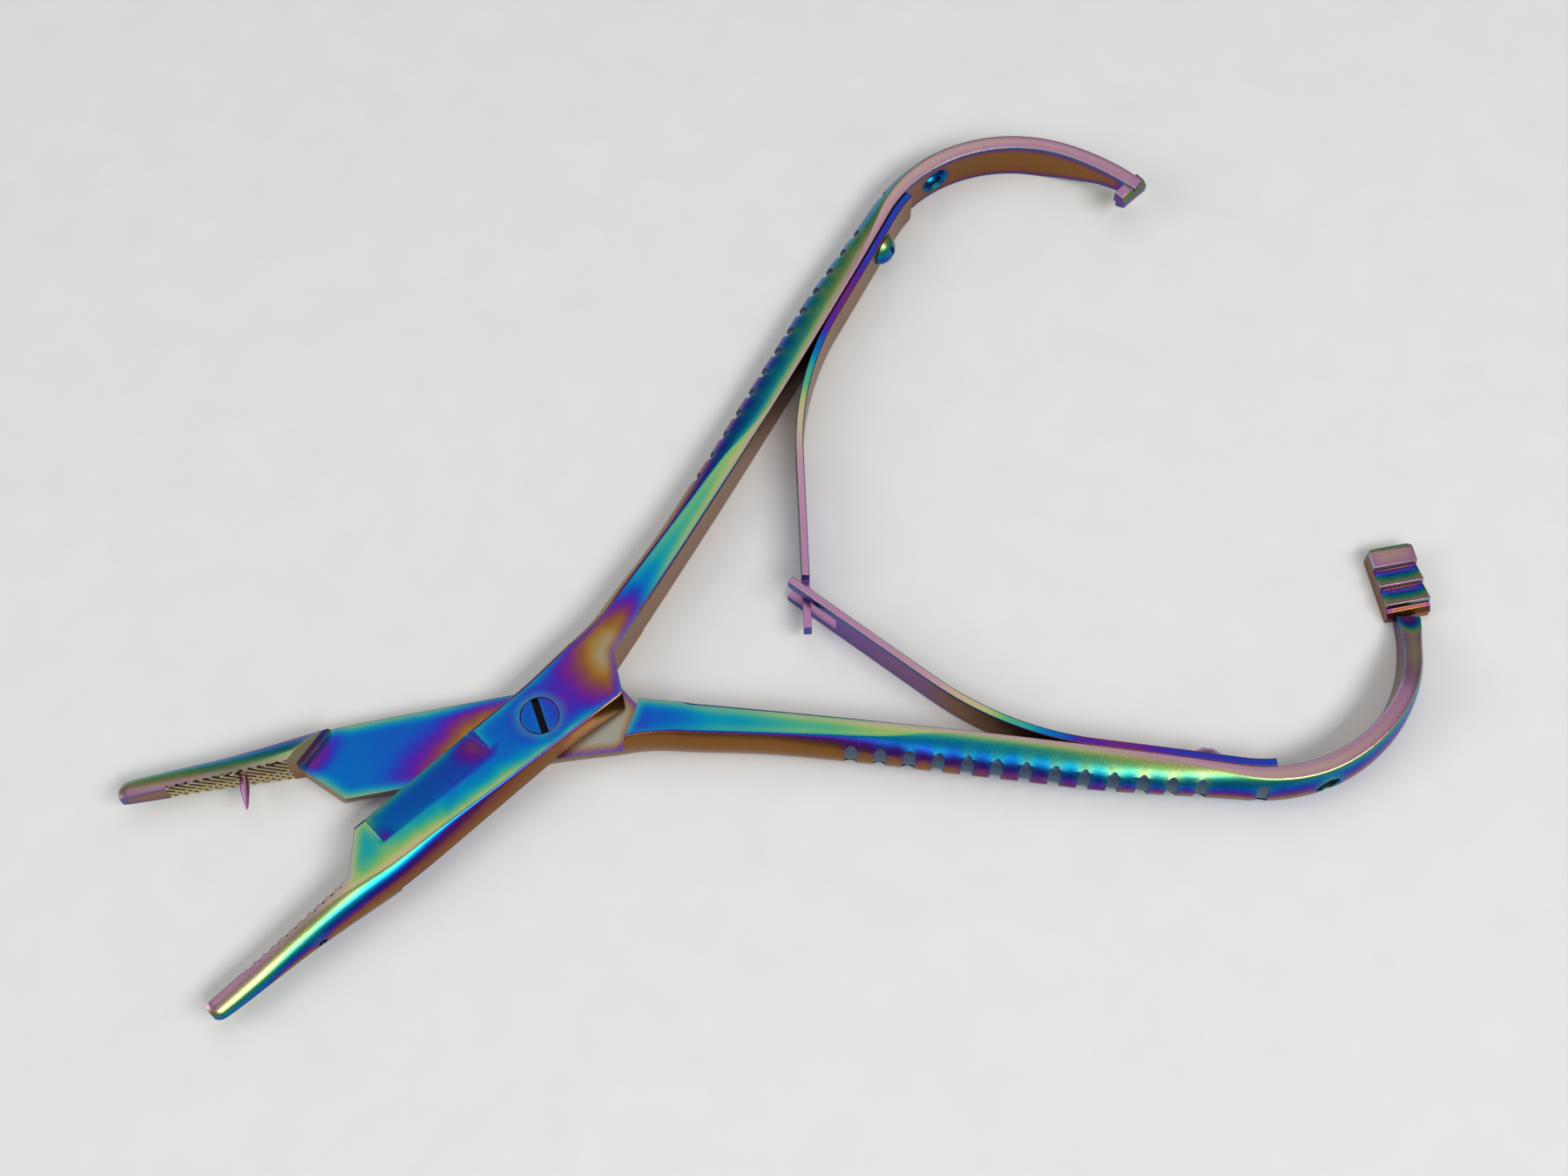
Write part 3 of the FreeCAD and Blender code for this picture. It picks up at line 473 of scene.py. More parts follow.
def new_piece(name, mesh):
    """A mesh object from a bmesh, which is freed."""
    data = bpy.data.meshes.new(name)
    mesh.to_mesh(data)
    mesh.free()
    piece = bpy.data.objects.new(name, data)
    bpy.context.scene.collection.objects.link(piece)
    return piece


def spread(first, last, gap):
    count = max(1, round(abs(last - first) / gap))
    return [first + (last - first) * i / count for i in range(count + 1)]


def forging(z, name, end_s, end_thickness):
    """Arm A's forging, closed: jaw, blade stock, lap and handle before any cut."""
    mesh = bmesh.new()
    loops = []
    jaw_keys = arm_form(z)
    handle_keys = handle_form(z, end_s, end_thickness)
    axis_form, handle = curve_through(jaw_keys), curve_through(handle_keys)
    places = spread(-z.jaw_length, -z.jaw_length + z.tip_round, 0.3)
    places += spread(-z.jaw_length + z.tip_round, -z.jaw_root, 1.1)[1:]
    places += spread(-z.jaw_root, jaw_keys[-1][0], 1.6)[1:]
    for x in places:
        outline = section(*axis_form(x), z.edge_round)
        loops.append(add_loop(mesh, Vector((x, 0)), 0.0, outline))
    start_s = handle_keys[0][0]
    first, last = jaw_keys[-1], handle_keys[0]
    joint_end, joint_heading = inner_face(z, start_s)
    joint_start = Vector((first[0], 0))
    reach = (joint_end - joint_start).length
    out_way = forward(joint_heading)
    steps = 7
    for i in range(1, steps):
        a, b, c, d = blend_weights(i / steps, reach)
        origin = joint_start * a + joint_end * b + Vector((1, 0)) * c + out_way * d
        values = [p + (q - p) * b for p, q in zip(first[1:], last[1:])]
        loops.append(add_loop(mesh, origin, joint_heading * b, section(*values, z.edge_round)))
    for s in spread(start_s, end_s, 1.3):
        point, heading = inner_face(z, s)
        loops.append(add_loop(mesh, point, heading, section(*handle(s), z.edge_round)))
    skin(mesh, loops)
    return new_piece(name, mesh)


def grown(mesh, faces):
    """Extrudes faces in place and gives the new vertices, ready to be moved."""
    made = bmesh.ops.extrude_face_region(mesh, geom=faces)
    return [part for part in made["geom"] if isinstance(part, bmesh.types.BMVert)]


def bar(outline, move):
    """A bmesh with this flat outline at one end, drawn out by a move."""
    mesh = bmesh.new()
    base = mesh.faces.new([mesh.verts.new(corner) for corner in outline])
    bmesh.ops.translate(mesh, verts=grown(mesh, [base]), vec=move)
    bmesh.ops.recalc_face_normals(mesh, faces=mesh.faces[:])
    return mesh


def prism(corners, low, high):
    """A block with this outline in plan, from one height to another."""
    return new_piece("tool", bar([(x, y, low) for x, y in corners], (0, 0, high - low)))


def rod(radius, run, start, direction, segments=48, end_radius=None):
    """A round bar or cone from a point along a direction."""
    mesh = bmesh.new()
    second = radius if end_radius is None else end_radius
    place = direction.to_track_quat("Z", "Y").to_matrix().to_4x4()
    place.translation = start + direction * run / 2
    bmesh.ops.create_cone(mesh, cap_ends=True, segments=segments, radius1=radius, radius2=second,
                          depth=run, matrix=place)
    return new_piece("tool", mesh)


def baked(piece):
    """The piece with its modifiers applied."""
    graph = bpy.context.evaluated_depsgraph_get()
    data = bpy.data.meshes.new_from_object(piece.evaluated_get(graph))
    piece.modifiers.clear()
    old = piece.data
    piece.data = data
    bpy.data.meshes.remove(old)
    return piece


def combine(piece, tools, operation="DIFFERENCE"):
    """Cuts the tools from a piece, or joins them to it, and deletes them."""
    for tool in tools:
        step = piece.modifiers.new("tool", "BOOLEAN")
        step.object = tool
        step.operation = operation
        step.solver = "EXACT"
        tool.hide_render = True
    baked(piece)
    for tool in tools:
        bpy.data.objects.remove(tool)
    return piece


def clamp_space(z):
    """Space beside the clamping face, with a slanted end at the jaw's root."""
    corner_x = -z.jaw_root + z.stop_gap
    past_tip = -z.jaw_length - FAR
    return prism([(past_tip, z.face_y), (corner_x, z.face_y),
                  (corner_x + FAR, z.face_y + FAR), (past_tip, FAR)], -FAR, FAR)


def knurl(z):
    """Diamond grooves sunk into the clamping face, as one block with a dimpled face."""
    margin, back = 0.9, 1.0
    first = -z.jaw_length + z.pad_length
    last = -z.jaw_root - margin
    step = z.knurl_pitch / 2
    columns = round((last - first) / step)
    rows = 2 * round(z.height / z.knurl_pitch) + 2
    mesh = bmesh.new()
    place = Matrix.Translation(((first + last) / 2, z.face_y, 0)) @ Matrix.Rotation(
        math.radians(90), 4, "X")
    bmesh.ops.create_grid(mesh, x_segments=columns, y_segments=rows, size=0.5, matrix=place)
    bmesh.ops.scale(mesh, verts=mesh.verts[:], vec=((last - first), 1, rows * step),
                    space=Matrix.Translation((-(first + last) / 2, 0, 0)))
    for vert in mesh.verts:
        i = round((vert.co.x - first) / step)
        j = round(vert.co.z / step + rows / 2)
        if (i + j) % 2:
            vert.co.y -= z.knurl_depth
    for vert in grown(mesh, mesh.faces[:]):
        vert.co.y = back
    bmesh.ops.recalc_face_normals(mesh, faces=mesh.faces[:])
    return new_piece("tool", mesh)


def lower_lap(z):
    """Everything under the lap plane, from the handle's shoulder to past the jaw's root."""
    front = [(lap_line(z.lap_front, z.shoulder_angle, y), y) for y in (FAR, -FAR)]
    return prism([(-z.jaw_root - FAR, FAR), *front, (-z.jaw_root + FAR, -FAR)],
                 -FAR, z.lap_gap / 2)


def crotch_space(z):
    """Wedge between the lap's free edge and the shank's inner face."""
    reach, skim = 7.5, 0.02
    point, heading = inner_face(z, reach)
    leave = point - outward(heading) * skim
    below = (lap_line(z.plate_front, -z.shoulder_angle, -FAR), -FAR)
    return prism([tuple(z.crotch), tuple(leave), (leave.x, -FAR), below], -FAR, FAR)


def blade_grind(z):
    """Shallow bevel from the land down to the cutting edge, with slanted end facets."""
    edge = z.lap_gap / 2 + z.edge_thickness
    slope = (z.half - edge) / (z.blade_reach - z.blade_land)
    drop = slope * FAR
    x0, x1 = -z.blade_start, -z.blade_start - z.blade_length
    lean, root_lean, over = z.grind_lean * drop, 0.1, 1.0
    mesh = bmesh.new()
    corners = [(x0, z.blade_land, 0.0), (x0 - lean, z.blade_land + FAR, -drop),
               (x1 + lean * root_lean, z.blade_land + FAR, -drop), (x1, z.blade_land, 0.0)]
    base = mesh.faces.new([mesh.verts.new((x, y, z.half + w)) for x, y, w in corners])
    for vert in grown(mesh, [base]):
        rise = z.half + over - vert.co.z
        vert.co.x += rise * (z.grind_lean if vert.co.x > (x0 + x1) / 2 else -root_lean)
        vert.co.z += rise
    bmesh.ops.recalc_face_normals(mesh, faces=mesh.faces[:])
    return new_piece("tool", mesh)


def root_bevel(z):
    """Wedge off the jaw's root, where it stands over the other arm's blade."""
    off_plane = 0.017            # keeps the wedge's face out of the clamping face's own plane
    before, past, sink, over = 3.6, 14.4, 0.04, 1.5
    start = Vector((-z.jaw_root - z.bevel_length, off_plane, -z.half))
    ahead = Vector((1, -1, 0)).normalized()
    rise = Vector((z.bevel_length, 0, z.bevel_depth))
    rise = rise - ahead * rise.dot(ahead)
    start = start - ahead * before - rise * sink
    down = Vector((0, 0, -z.half))
    outline = [start, start + rise * over, start + rise * over + down, start + down]
    return new_piece("tool", bar(outline, ahead * past))


def groove_cutters(z):
    """Round-ended upright grooves that follow the handle's rounded outer face."""
    handle = curve_through(handle_form(z, z.curl_end_s, z.end_thickness))
    radii = [z.groove_first + i * z.groove_pitch for i in range(z.groove_count)] + [z.last_groove]
    cutters = []
    for radius in radii:
        s = distance_at(z, radius, z.grip_thickness / 2)
        point, heading = inner_face(z, s)
        _, _, ridge, side, low, high = handle(s)
        mesh = bmesh.new()
        loops = []
        rings = 14
        r = z.groove_width / 2
        for i in range(rings + 1):
            w = (z.groove_height / 2) * math.sin(math.pi / 2 * (2 * i / rings - 1))
            lift = max(abs(w) - (z.groove_height / 2 - r), 0) / r
            width = max(r * math.sqrt(max(1 - lift * lift, 0)), 0.06)
            drop = (z.half - z.groove_depth)
            level = min(abs(w) / drop, 1)
            floor = ridge + (side - ridge - z.groove_depth) * math.sqrt(1 - level * level)
            outline = [(-width, side + 1.5), (-width, floor + 0.12), (-width * 0.6, floor),
                       (width * 0.6, floor), (width, floor + 0.12), (width, side + 1.5)]
            loops.append(ring(mesh, [
                (*(point + forward(heading) * a + outward(heading) * u), w) for a, u in outline]))
        skin(mesh, loops)
        cutters.append(new_piece("tool", mesh))
    return cutters


def lanyard_hole(z):
    """Drill and two countersinks for the hole in a handle's bend."""
    s = distance_at(z, z.lanyard_place, z.hole_thickness / 2)
    point, heading = inner_face(z, s)
    side = outward(heading).to_3d()
    base = point.to_3d()
    bell = 0.35
    r = z.lanyard_radius
    return [
        rod(r, z.hole_thickness + 4, base - side * 2, side),
        rod(r + bell + 1, 1 + bell, base - side * 1, side, end_radius=r),
        rod(r, 1 + bell, base + side * (z.hole_thickness - bell), side, end_radius=r + bell + 1),
    ]


def eased(mesh, offset, segments=2):
    """Rounds every sharp edge of a bmesh."""
    sharp = [e for e in mesh.edges if len(e.link_faces) == 2
             and e.calc_face_angle(0) > math.radians(25)]
    bmesh.ops.bevel(mesh, geom=sharp, offset=offset, segments=segments, profile=0.5,
                    affect="EDGES", material=-1, clamp_overlap=True)
    return mesh


def catch(z):
    """Lip and downward tooth at the end of handle A."""
    end, _ = inner_face(z, z.curl_end_s)
    tooth_low = -z.tooth_crest + z.catch_clearance
    body_low = tooth_low + z.catch_depth
    y0, y1 = z.catch_tip, z.catch_tip + z.catch_width
    setting, bevel, root, hook, soft = 0.3, 0.6, 0.4, 0.35, 0.07
    top = z.half - setting
    outline = [(y0, top - bevel), (y0 + bevel, top), (y1 + root, top), (y1 + root, body_low),
               (y1, body_low), (y1, tooth_low), (y1 - hook, tooth_low), (y0, body_low)]
    x = end.x - z.catch_lip
    run = z.catch_lip + z.end_thickness + setting
    mesh = bar([(x, y, w) for y, w in outline], (run, 0, 0))
    return new_piece("tool", eased(mesh, soft))


def ratchet_plate(z):
    """Toothed plate at the end of handle B, drawn on arm A's side."""
    end, _ = inner_face(z, z.curl_end_s)
    inset, soft = 0.2, 0.09
    nose_run, nose_low, nose_high = 0.5, 0.35, 0.08
    steep, heel_run, heel_low, heel_high = 0.18, 0.5, 0.1, 0.7
    middle = end.x + z.end_thickness / 2 - inset
    root = z.tooth_crest + z.tooth_height
    neck = z.plate_length - z.plate_tip
    crest = -z.plate_tip + z.plate_plateau
    outline = [(-z.plate_tip, z.half), (-z.plate_tip, z.tooth_crest + nose_low),
               (-z.plate_tip + nose_run, z.tooth_crest + nose_high), (crest, z.tooth_crest)]
    for _ in range(z.tooth_count - 1):
        outline += [(crest + steep, root), (crest + z.tooth_pitch, z.tooth_crest)]
        crest += z.tooth_pitch
    outline += [(crest + steep, root), (neck - heel_run, root + heel_low),
                (neck, root + heel_high), (neck, z.half)]
    x = middle - z.plate_width / 2
    mesh = bar([(x, y, w) for y, w in outline], (z.plate_width, 0, 0))
    tip_corners = [edge for edge in mesh.edges
                   if all(abs(v.co.y + z.plate_tip) < 1e-5 for v in edge.verts)
                   and abs(edge.verts[0].co.x - edge.verts[1].co.x) < 1e-5]
    bmesh.ops.bevel(mesh, geom=tip_corners, offset=z.plate_corner, segments=4, profile=0.5,
                    affect="EDGES", material=-1)
    return new_piece("tool", eased(mesh, soft))


def settle(piece, arm, turned=True):
    """Brings a closed-place mesh in millimetres to its resting place in the frame."""
    z = sizes()
    place = Matrix.Identity(4)
    if arm == "b" and turned:
        place = Matrix.Rotation(math.pi, 4, "X")
    swing = z.open_half if arm == "a" else -z.open_half
    place = Matrix.Rotation(swing, 4, "Z") @ place
    place = Matrix.Scale(MM, 4) @ Matrix.Translation((0, 0, z.half)) @ place
    mesh = bmesh.new()
    mesh.from_mesh(piece.data)
    bmesh.ops.remove_doubles(mesh, verts=mesh.verts[:], dist=2e-3)
    bmesh.ops.dissolve_degenerate(mesh, dist=1e-3, edges=mesh.edges[:])
    bmesh.ops.recalc_face_normals(mesh, faces=mesh.faces[:])
    for face in mesh.faces:
        face.smooth = True
    for edge in mesh.edges:
        edge.smooth = edge.calc_face_angle(0) < math.radians(30)
    bmesh.ops.transform(mesh, matrix=place, verts=mesh.verts[:])
    mesh.to_mesh(piece.data)
    mesh.free()
    step = piece.modifiers.new("even shading", "WEIGHTED_NORMAL")
    step.keep_sharp = True
    return piece


def tinted(tools, finish):
    """Gives cutting tools the finish that their cuts leave."""
    for tool in tools:
        tool.data.materials.append(finish)
    return tools


def arm_blank(z, name, finishes, end_s, end_thickness):
    """An arm with its lap, jaw's root and blade cut, before its own end and bores."""
    piece = forging(z, name, end_s, end_thickness)
    for finish in finishes.values():
        piece.data.materials.append(finish)
    combine(piece, tinted([clamp_space(z), crotch_space(z)], finishes["coat"]))
    combine(piece, tinted([lower_lap(z)], finishes["lap"]))
    combine(piece, tinted([root_bevel(z)], finishes["bevel"]))
    return combine(piece, tinted([blade_grind(z)], finishes["grind"]))


def make_arm_a(z, finishes):
    arm = arm_blank(z, "forged_arm_a", finishes, z.curl_end_s + z.catch_overrun, z.end_thickness)
    combine(arm, tinted([catch(z)], finishes["coat"]), "UNION")
    up = Vector((0, 0, 1))
    floor = z.half - z.head_height - z.screw_gap
    pin_x = z.pin_from_tip - z.jaw_length
    bores = [
        rod(z.shank_radius + z.screw_gap, FAR, Vector((0, 0, -1)), up),
        rod(z.head_radius + z.screw_gap, FAR, Vector((0, 0, floor)), up, 64),
        rod(z.pin_radius + z.pin_gap, 4.0, Vector((pin_x, 0.1, 0)), Vector((0, -1, 0)), 32,
            z.pin_exit),
    ]
    return finish_arm(z, arm, finishes, bores, "a")


def make_arm_b(z, finishes):
    arm = arm_blank(z, "forged_arm_b", finishes, z.curl_end_s - z.neck_short, z.neck_thickness)
    combine(arm, tinted([ratchet_plate(z)], finishes["teeth"]), "UNION")
    bores = [rod(z.thread_radius, FAR, Vector((0, 0, -1)), Vector((0, 0, 1)))]
    return finish_arm(z, arm, finishes, bores, "b")


def finish_arm(z, arm, finishes, bores, side):
    """Knurl, bores and grooves, cut last, and the arm's resting place."""
    combine(arm, tinted([knurl(z)], finishes["knurl"]))
    combine(arm, tinted(bores + lanyard_hole(z), finishes["bore"]))
    combine(arm, tinted(groove_cutters(z), finishes["groove"]))
    return settle(arm, side)


def turned_piece(name, profile, start, direction, segments=64):
    """A round piece from (radius, distance) points along its axis."""
    mesh = bmesh.new()
    verts = [mesh.verts.new((radius, 0, run)) for radius, run in profile]
    edges = [mesh.edges.new(pair) for pair in zip(verts, verts[1:])]
    bmesh.ops.spin(mesh, geom=verts + edges, cent=(0, 0, 0), axis=(0, 0, 1),
                   angle=2 * math.pi, steps=segments, use_merge=True)
    bmesh.ops.remove_doubles(mesh, verts=mesh.verts[:], dist=1e-4)
    bmesh.ops.recalc_face_normals(mesh, faces=mesh.faces[:])
    place = direction.to_track_quat("Z", "Y").to_matrix().to_4x4()
    place.translation = start
    bmesh.ops.transform(mesh, matrix=place, verts=mesh.verts[:])
    return new_piece(name, mesh)


def slot_block(run, width, depth, top, direction, across):
    """Cutter for a screwdriver slot in a face at top that looks along direction."""
    mesh = bmesh.new()
    bmesh.ops.create_cube(mesh, size=1)
    ahead = direction.cross(across).normalized()
    place = Matrix((across * run, ahead * width, direction * depth * 2)).transposed().to_4x4()
    place.translation = top
    bmesh.ops.transform(mesh, matrix=place, verts=mesh.verts[:])
    bmesh.ops.recalc_face_normals(mesh, faces=mesh.faces[:])
    return new_piece("tool", mesh)


def corner_arc(centre, radius, start, end, steps=4):
    """Points of a small rounding in a turned profile."""
    return [(centre[0] + radius * math.cos(start + (end - start) * i / steps),
             centre[1] + radius * math.sin(start + (end - start) * i / steps))
            for i in range(steps + 1)]


def make_pivot_screw(z, coat, slot_shade_finish):
    seat, soft = -z.lap_gap / 2, 0.08
    top = z.half
    profile = [(0, -z.half), *corner_arc((z.thread_radius - 0.2, -z.half + 0.2), 0.2,
                                         -math.pi / 2, 0),
               (z.thread_radius, seat), (z.shank_radius, seat),
               (z.shank_radius, top - z.head_height), (z.head_radius, top - z.head_height),
               *corner_arc((z.head_radius - soft, top - soft), soft, 0, math.pi / 2), (0, top)]
    screw = turned_piece("pivot_screw_slotted", profile, Vector((0, 0, 0)), Vector((0, 0, 1)))
    slot = slot_block(3 * z.head_radius, z.slot_width, z.slot_depth, Vector((0, 0, top)),
                      Vector((0, 0, 1)), Vector((math.cos(z.slot_turn), math.sin(z.slot_turn), 0)))
    screw.data.materials.append(coat)
    # The slot's faces take the near-black painted shade.
    screw.data.materials.append(slot_shade_finish)
    combine(screw, tinted([slot], slot_shade_finish))
    return settle(screw, "b", turned=False)


def make_cleaning_pin(z):
    """Bullet-shaped pin: straight, then drawn down to a small round point."""
    soft, out = z.pin_tip, z.pin_length
    profile = [(0, -z.pin_seat), (z.pin_radius, -z.pin_seat), (z.pin_radius, 0.0)]
    for share in (0.15, 0.3, 0.45, 0.6, 0.75, 0.88):
        narrowing = max(0.0, share - 0.3) / 0.7
        profile.append((z.pin_radius + (soft - z.pin_radius) * narrowing ** 1.3, out * share))
    profile += corner_arc((0, out - soft), soft, 0, math.pi / 2)
    start = Vector((z.pin_from_tip - z.jaw_length, z.face_y, 0))
    pin = turned_piece("cleaning_pin_pointed", profile, start, Vector((0, 1, 0)), 40)
    return settle(pin, "b")


def screw_axis(z):
    """Where a spring screw enters the handle's inner face, and which way it goes in."""
    point, heading = inner_face(z, z.screw_place)
    return point.to_3d(), outward(heading).to_3d()


def make_spring_screw(z, arm):
    point, into = screw_axis(z)
    seat = point - into * (z.leaf_gap + z.leaf_thickness)
    ball = (z.dome_radius ** 2 + z.dome_height ** 2) / (2 * z.dome_height)
    limit = math.asin(z.dome_radius / ball)
    steps = 10
    profile = [(ball * math.sin(limit * i / steps),
                ball * math.cos(limit * i / steps) - ball + z.dome_height)
               for i in range(steps + 1)]
    profile[-1] = (z.dome_radius, 0.08)
    profile += [(z.dome_radius - 0.05, 0.0), (z.screw_shank, 0.0),
                (z.screw_shank, -z.screw_seat - z.leaf_gap - z.leaf_thickness),
                (0, -z.screw_seat - z.leaf_gap - z.leaf_thickness)]
    screw = turned_piece("spring_screw_domed_" + arm, profile, seat, -into)
    top = seat - into * z.dome_height
    slot = slot_block(3 * z.dome_radius, z.screw_slot, z.dome_slot_depth, top, -into,
                      Vector((0, 0, 1)))
    combine(screw, [slot])
    return settle(screw, arm)


def leaf_stations(z, straight):
    """Points and headings of the strip's middle line, from its tail to its free end."""
    middle = z.leaf_gap + z.leaf_thickness / 2
    stations = []
    for s in spread(z.leaf_tail, z.leaf_lift, 1.0):
        point, heading = inner_face(z, s)
        stations.append((point - outward(heading) * middle, heading + math.pi))
    lift, back = stations[-1]
    radius = z.leaf_bend_radius - middle
    bend = radius * z.leaf_bend_turn
    for run in spread(0, bend, 0.8)[1:]:
        turned = back + z.leaf_bend_turn * run / bend
        stations.append((along(lift, run, back, turned), turned))
    last, heading = stations[-1]
    for run in spread(0, straight, 1.5)[1:]:
        stations.append((along(last, run, heading, heading), heading))
    return stations


def make_leaf(z, arm):
    """Spring strip with rounded edges; strip A ends in a tongue, strip B in a fork."""
    straight = z.leaf_straight if arm == "a" else z.leaf_straight - z.fork_cut
    stations = leaf_stations(z, straight)
    t, h = z.leaf_thickness / 2, z.leaf_height / 2
    box = [Vector(p) for p in ((t, h), (t, 0), (t, -h), (-t, -h), (-t, 0), (-t, h))]
    outline = rounded(box, {0, 2, 3, 5}, z.leaf_round)
    mesh = bmesh.new()
    skin(mesh, [add_loop(mesh, point, heading, outline) for point, heading in stations])
    leaf = new_piece("spring_leaf_" + arm, mesh)
    end, heading = stations[-1]
    way, across = forward(heading), outward(heading)
    bore_gap = 0.15

    def block(run, low, high):
        start, past = end - way * run, end + way * 2
        corners = [start - across * 2, past - across * 2, past + across * 2, start + across * 2]
        return prism([tuple(c) for c in corners], low, high)

    if arm == "a":
        edge = z.tongue_height / 2
        tools = [block(z.tongue_length, edge, FAR), block(z.tongue_length, -FAR, -edge)]
    else:
        edge = z.tongue_height / 2 + z.fork_gap
        tools = [block(z.fork_slot, -edge, edge)]
    point, into = screw_axis(z)
    tools.append(rod(z.screw_shank + bore_gap, 6, point - into * 3, into))
    combine(leaf, tools)
    return settle(leaf, arm)


# Materials


def linear(code):
    """Linear colour from an sRGB hex value."""
    parts = [int(code[i:i + 2], 16) / 255 for i in (1, 3, 5)]
    return (*[c / 12.92 if c <= 0.04045 else ((c + 0.055) / 1.055) ** 2.4 for c in parts], 1.0)


def node(tree, kind, links=None, **settings):
    """Adds a node with its settings, and links or values for its inputs."""
    made = tree.nodes.new(kind)
    for name, value in settings.items():
        setattr(made, name, value)
    for name, value in (links or {}).items():
        if isinstance(value, bpy.types.NodeSocket):
            tree.links.new(value, made.inputs[name])
        else:
            made.inputs[name].default_value = value
    return made


def maths(tree, operation, first, second=0.0, third=0.0, clamp=False):
    return node(tree, "ShaderNodeMath", {0: first, 1: second, 2: third}, operation=operation,
                use_clamp=clamp).outputs[0]


def set_ramp(ramp, stops):
    while len(ramp.elements) > 1:
        ramp.elements.remove(ramp.elements[-1])
    for i, (place, value) in enumerate(stops):
        stop = ramp.elements[0] if i == 0 else ramp.elements.new(place)
        stop.position = place
        stop.color = value if isinstance(value, tuple) else (value, value, value, 1)


COAT_STOPS = [
    (0.00, "bare"), (0.07, "gold"), (0.15, "bronze"), (0.24, "purple"), (0.32, "indigo"),
    (0.40, "blue"), (0.49, "cyan"), (0.56, "teal"), (0.65, "green"), (0.73, "lime"),
    (0.81, "cream"), (0.88, "pink"), (1.00, "mauve"),
]


def closed_place(tree, mirrored):
    """Object coordinates in millimetres, turned back to the closed arm's own frame."""
    z = sizes()
    coords = node(tree, "ShaderNodeTexCoord")
    per_metre = 1 / MM
    side = -per_metre if mirrored else per_metre
    return node(tree, "ShaderNodeMapping", {
        "Vector": coords.outputs["Object"], "Scale": (per_metre, side, per_metre),
        "Rotation": (0, 0, -z.open_half)}).outputs[0]


def coat_colour(tree, thickness):
    """Colour of the coat at a thickness from 0 to 1."""
    colours = bpy.context.scene.forceps_coat
    ramp = node(tree, "ShaderNodeValToRGB", {"Fac": thickness})
    ramp.color_ramp.interpolation = "B_SPLINE"
    set_ramp(ramp.color_ramp, [(place, linear(getattr(colours, name)))
                               for place, name in COAT_STOPS])
    return ramp.outputs["Color"]


def patches(tree, place, total, marks, weight):
    """Adds smooth oval changes of thickness in plan: x, y, turn, long and short radius, amount."""
    warp = node(tree, "ShaderNodeTexNoise", {"Vector": place, "Scale": 0.35, "Detail": 1.0})
    shift = node(tree, "ShaderNodeVectorMath", {0: warp.outputs["Color"], 1: (0.5, 0.5, 0.5)},
                 operation="SUBTRACT").outputs[0]
    bent = node(tree, "ShaderNodeVectorMath", {0: shift, 1: (1.6, 1.6, 0.0), 2: place},
                operation="MULTIPLY_ADD").outputs[0]
    flat = node(tree, "ShaderNodeVectorMath", {0: bent, 1: (1, 1, 0)},
                operation="MULTIPLY").outputs[0]
    for x, y, turn, run, reach, amount in marks:
        oval = node(tree, "ShaderNodeMapping", {
            "Vector": flat, "Location": (x, y, 0), "Rotation": (0, 0, math.radians(turn)),
            "Scale": (run, reach, 1)}, vector_type="TEXTURE").outputs[0]
        away = node(tree, "ShaderNodeVectorMath", {0: oval}, operation="LENGTH").outputs["Value"]
        share = node(tree, "ShaderNodeMapRange", {
            "Value": away, "From Min": 1.0, "From Max": 0.0, "To Min": 0.0, "To Max": amount},
            interpolation_type="SMOOTHSTEP").outputs["Result"]
        total = maths(tree, "MULTIPLY_ADD", share, weight, total)
    return total


def new_finish(name):
    """A material with an empty node tree."""
    material = bpy.data.materials.new(name)
    material.use_nodes = True
    material.node_tree.nodes.clear()
    return material, material.node_tree


def surface(tree, **inputs):
    """Ends a tree in its surface, with inputs named as the shader's sockets."""
    links = {name.replace("_", " "): value for name, value in inputs.items()}
    shader = node(tree, "ShaderNodeBsdfPrincipled", links)
    node(tree, "ShaderNodeOutputMaterial", {"Surface": shader.outputs[0]})


def plain_steel(name, code, rough):
    """Plain dull steel in one flat colour, for milled grooves and slots: the grooves' blue-grey is
    bare steel that the coat didn't reach, darkened further as painted shade, and the slot's
    near-black is painted shade.
    """
    material, tree = new_finish(name)
    surface(tree, Base_Color=linear(code), Metallic=1.0, Roughness=rough)
    return material


def knurled_steel(name, mirrored):
    """Coated steel pressed into fine diamonds: cream-gold points over near-black valleys, whose
    dark is painted shade.
    """
    material, tree = new_finish(name)
    place = closed_place(tree, mirrored)
    depth = node(tree, "ShaderNodeSeparateXYZ", {0: place}).outputs["Y"]
    height = node(tree, "ShaderNodeMapRange", {"Value": depth, "From Min": -0.38,
                                               "From Max": -0.06}).outputs["Result"]
    colour = node(tree, "ShaderNodeValToRGB", {"Fac": height})
    # The near-black and dark brown stops paint the shade down in the diamonds' valleys; the
    # cream-gold stops are the coat on the points.
    set_ramp(colour.color_ramp, [(0.0, linear("#0B0A0C")), (0.48, linear("#1E160F")),
                                 (0.62, linear("#A98E58")), (1.0, linear("#EBDDB8"))])
    surface(tree, Base_Color=colour.outputs["Color"], Metallic=1.0, Roughness=0.34)
    return material


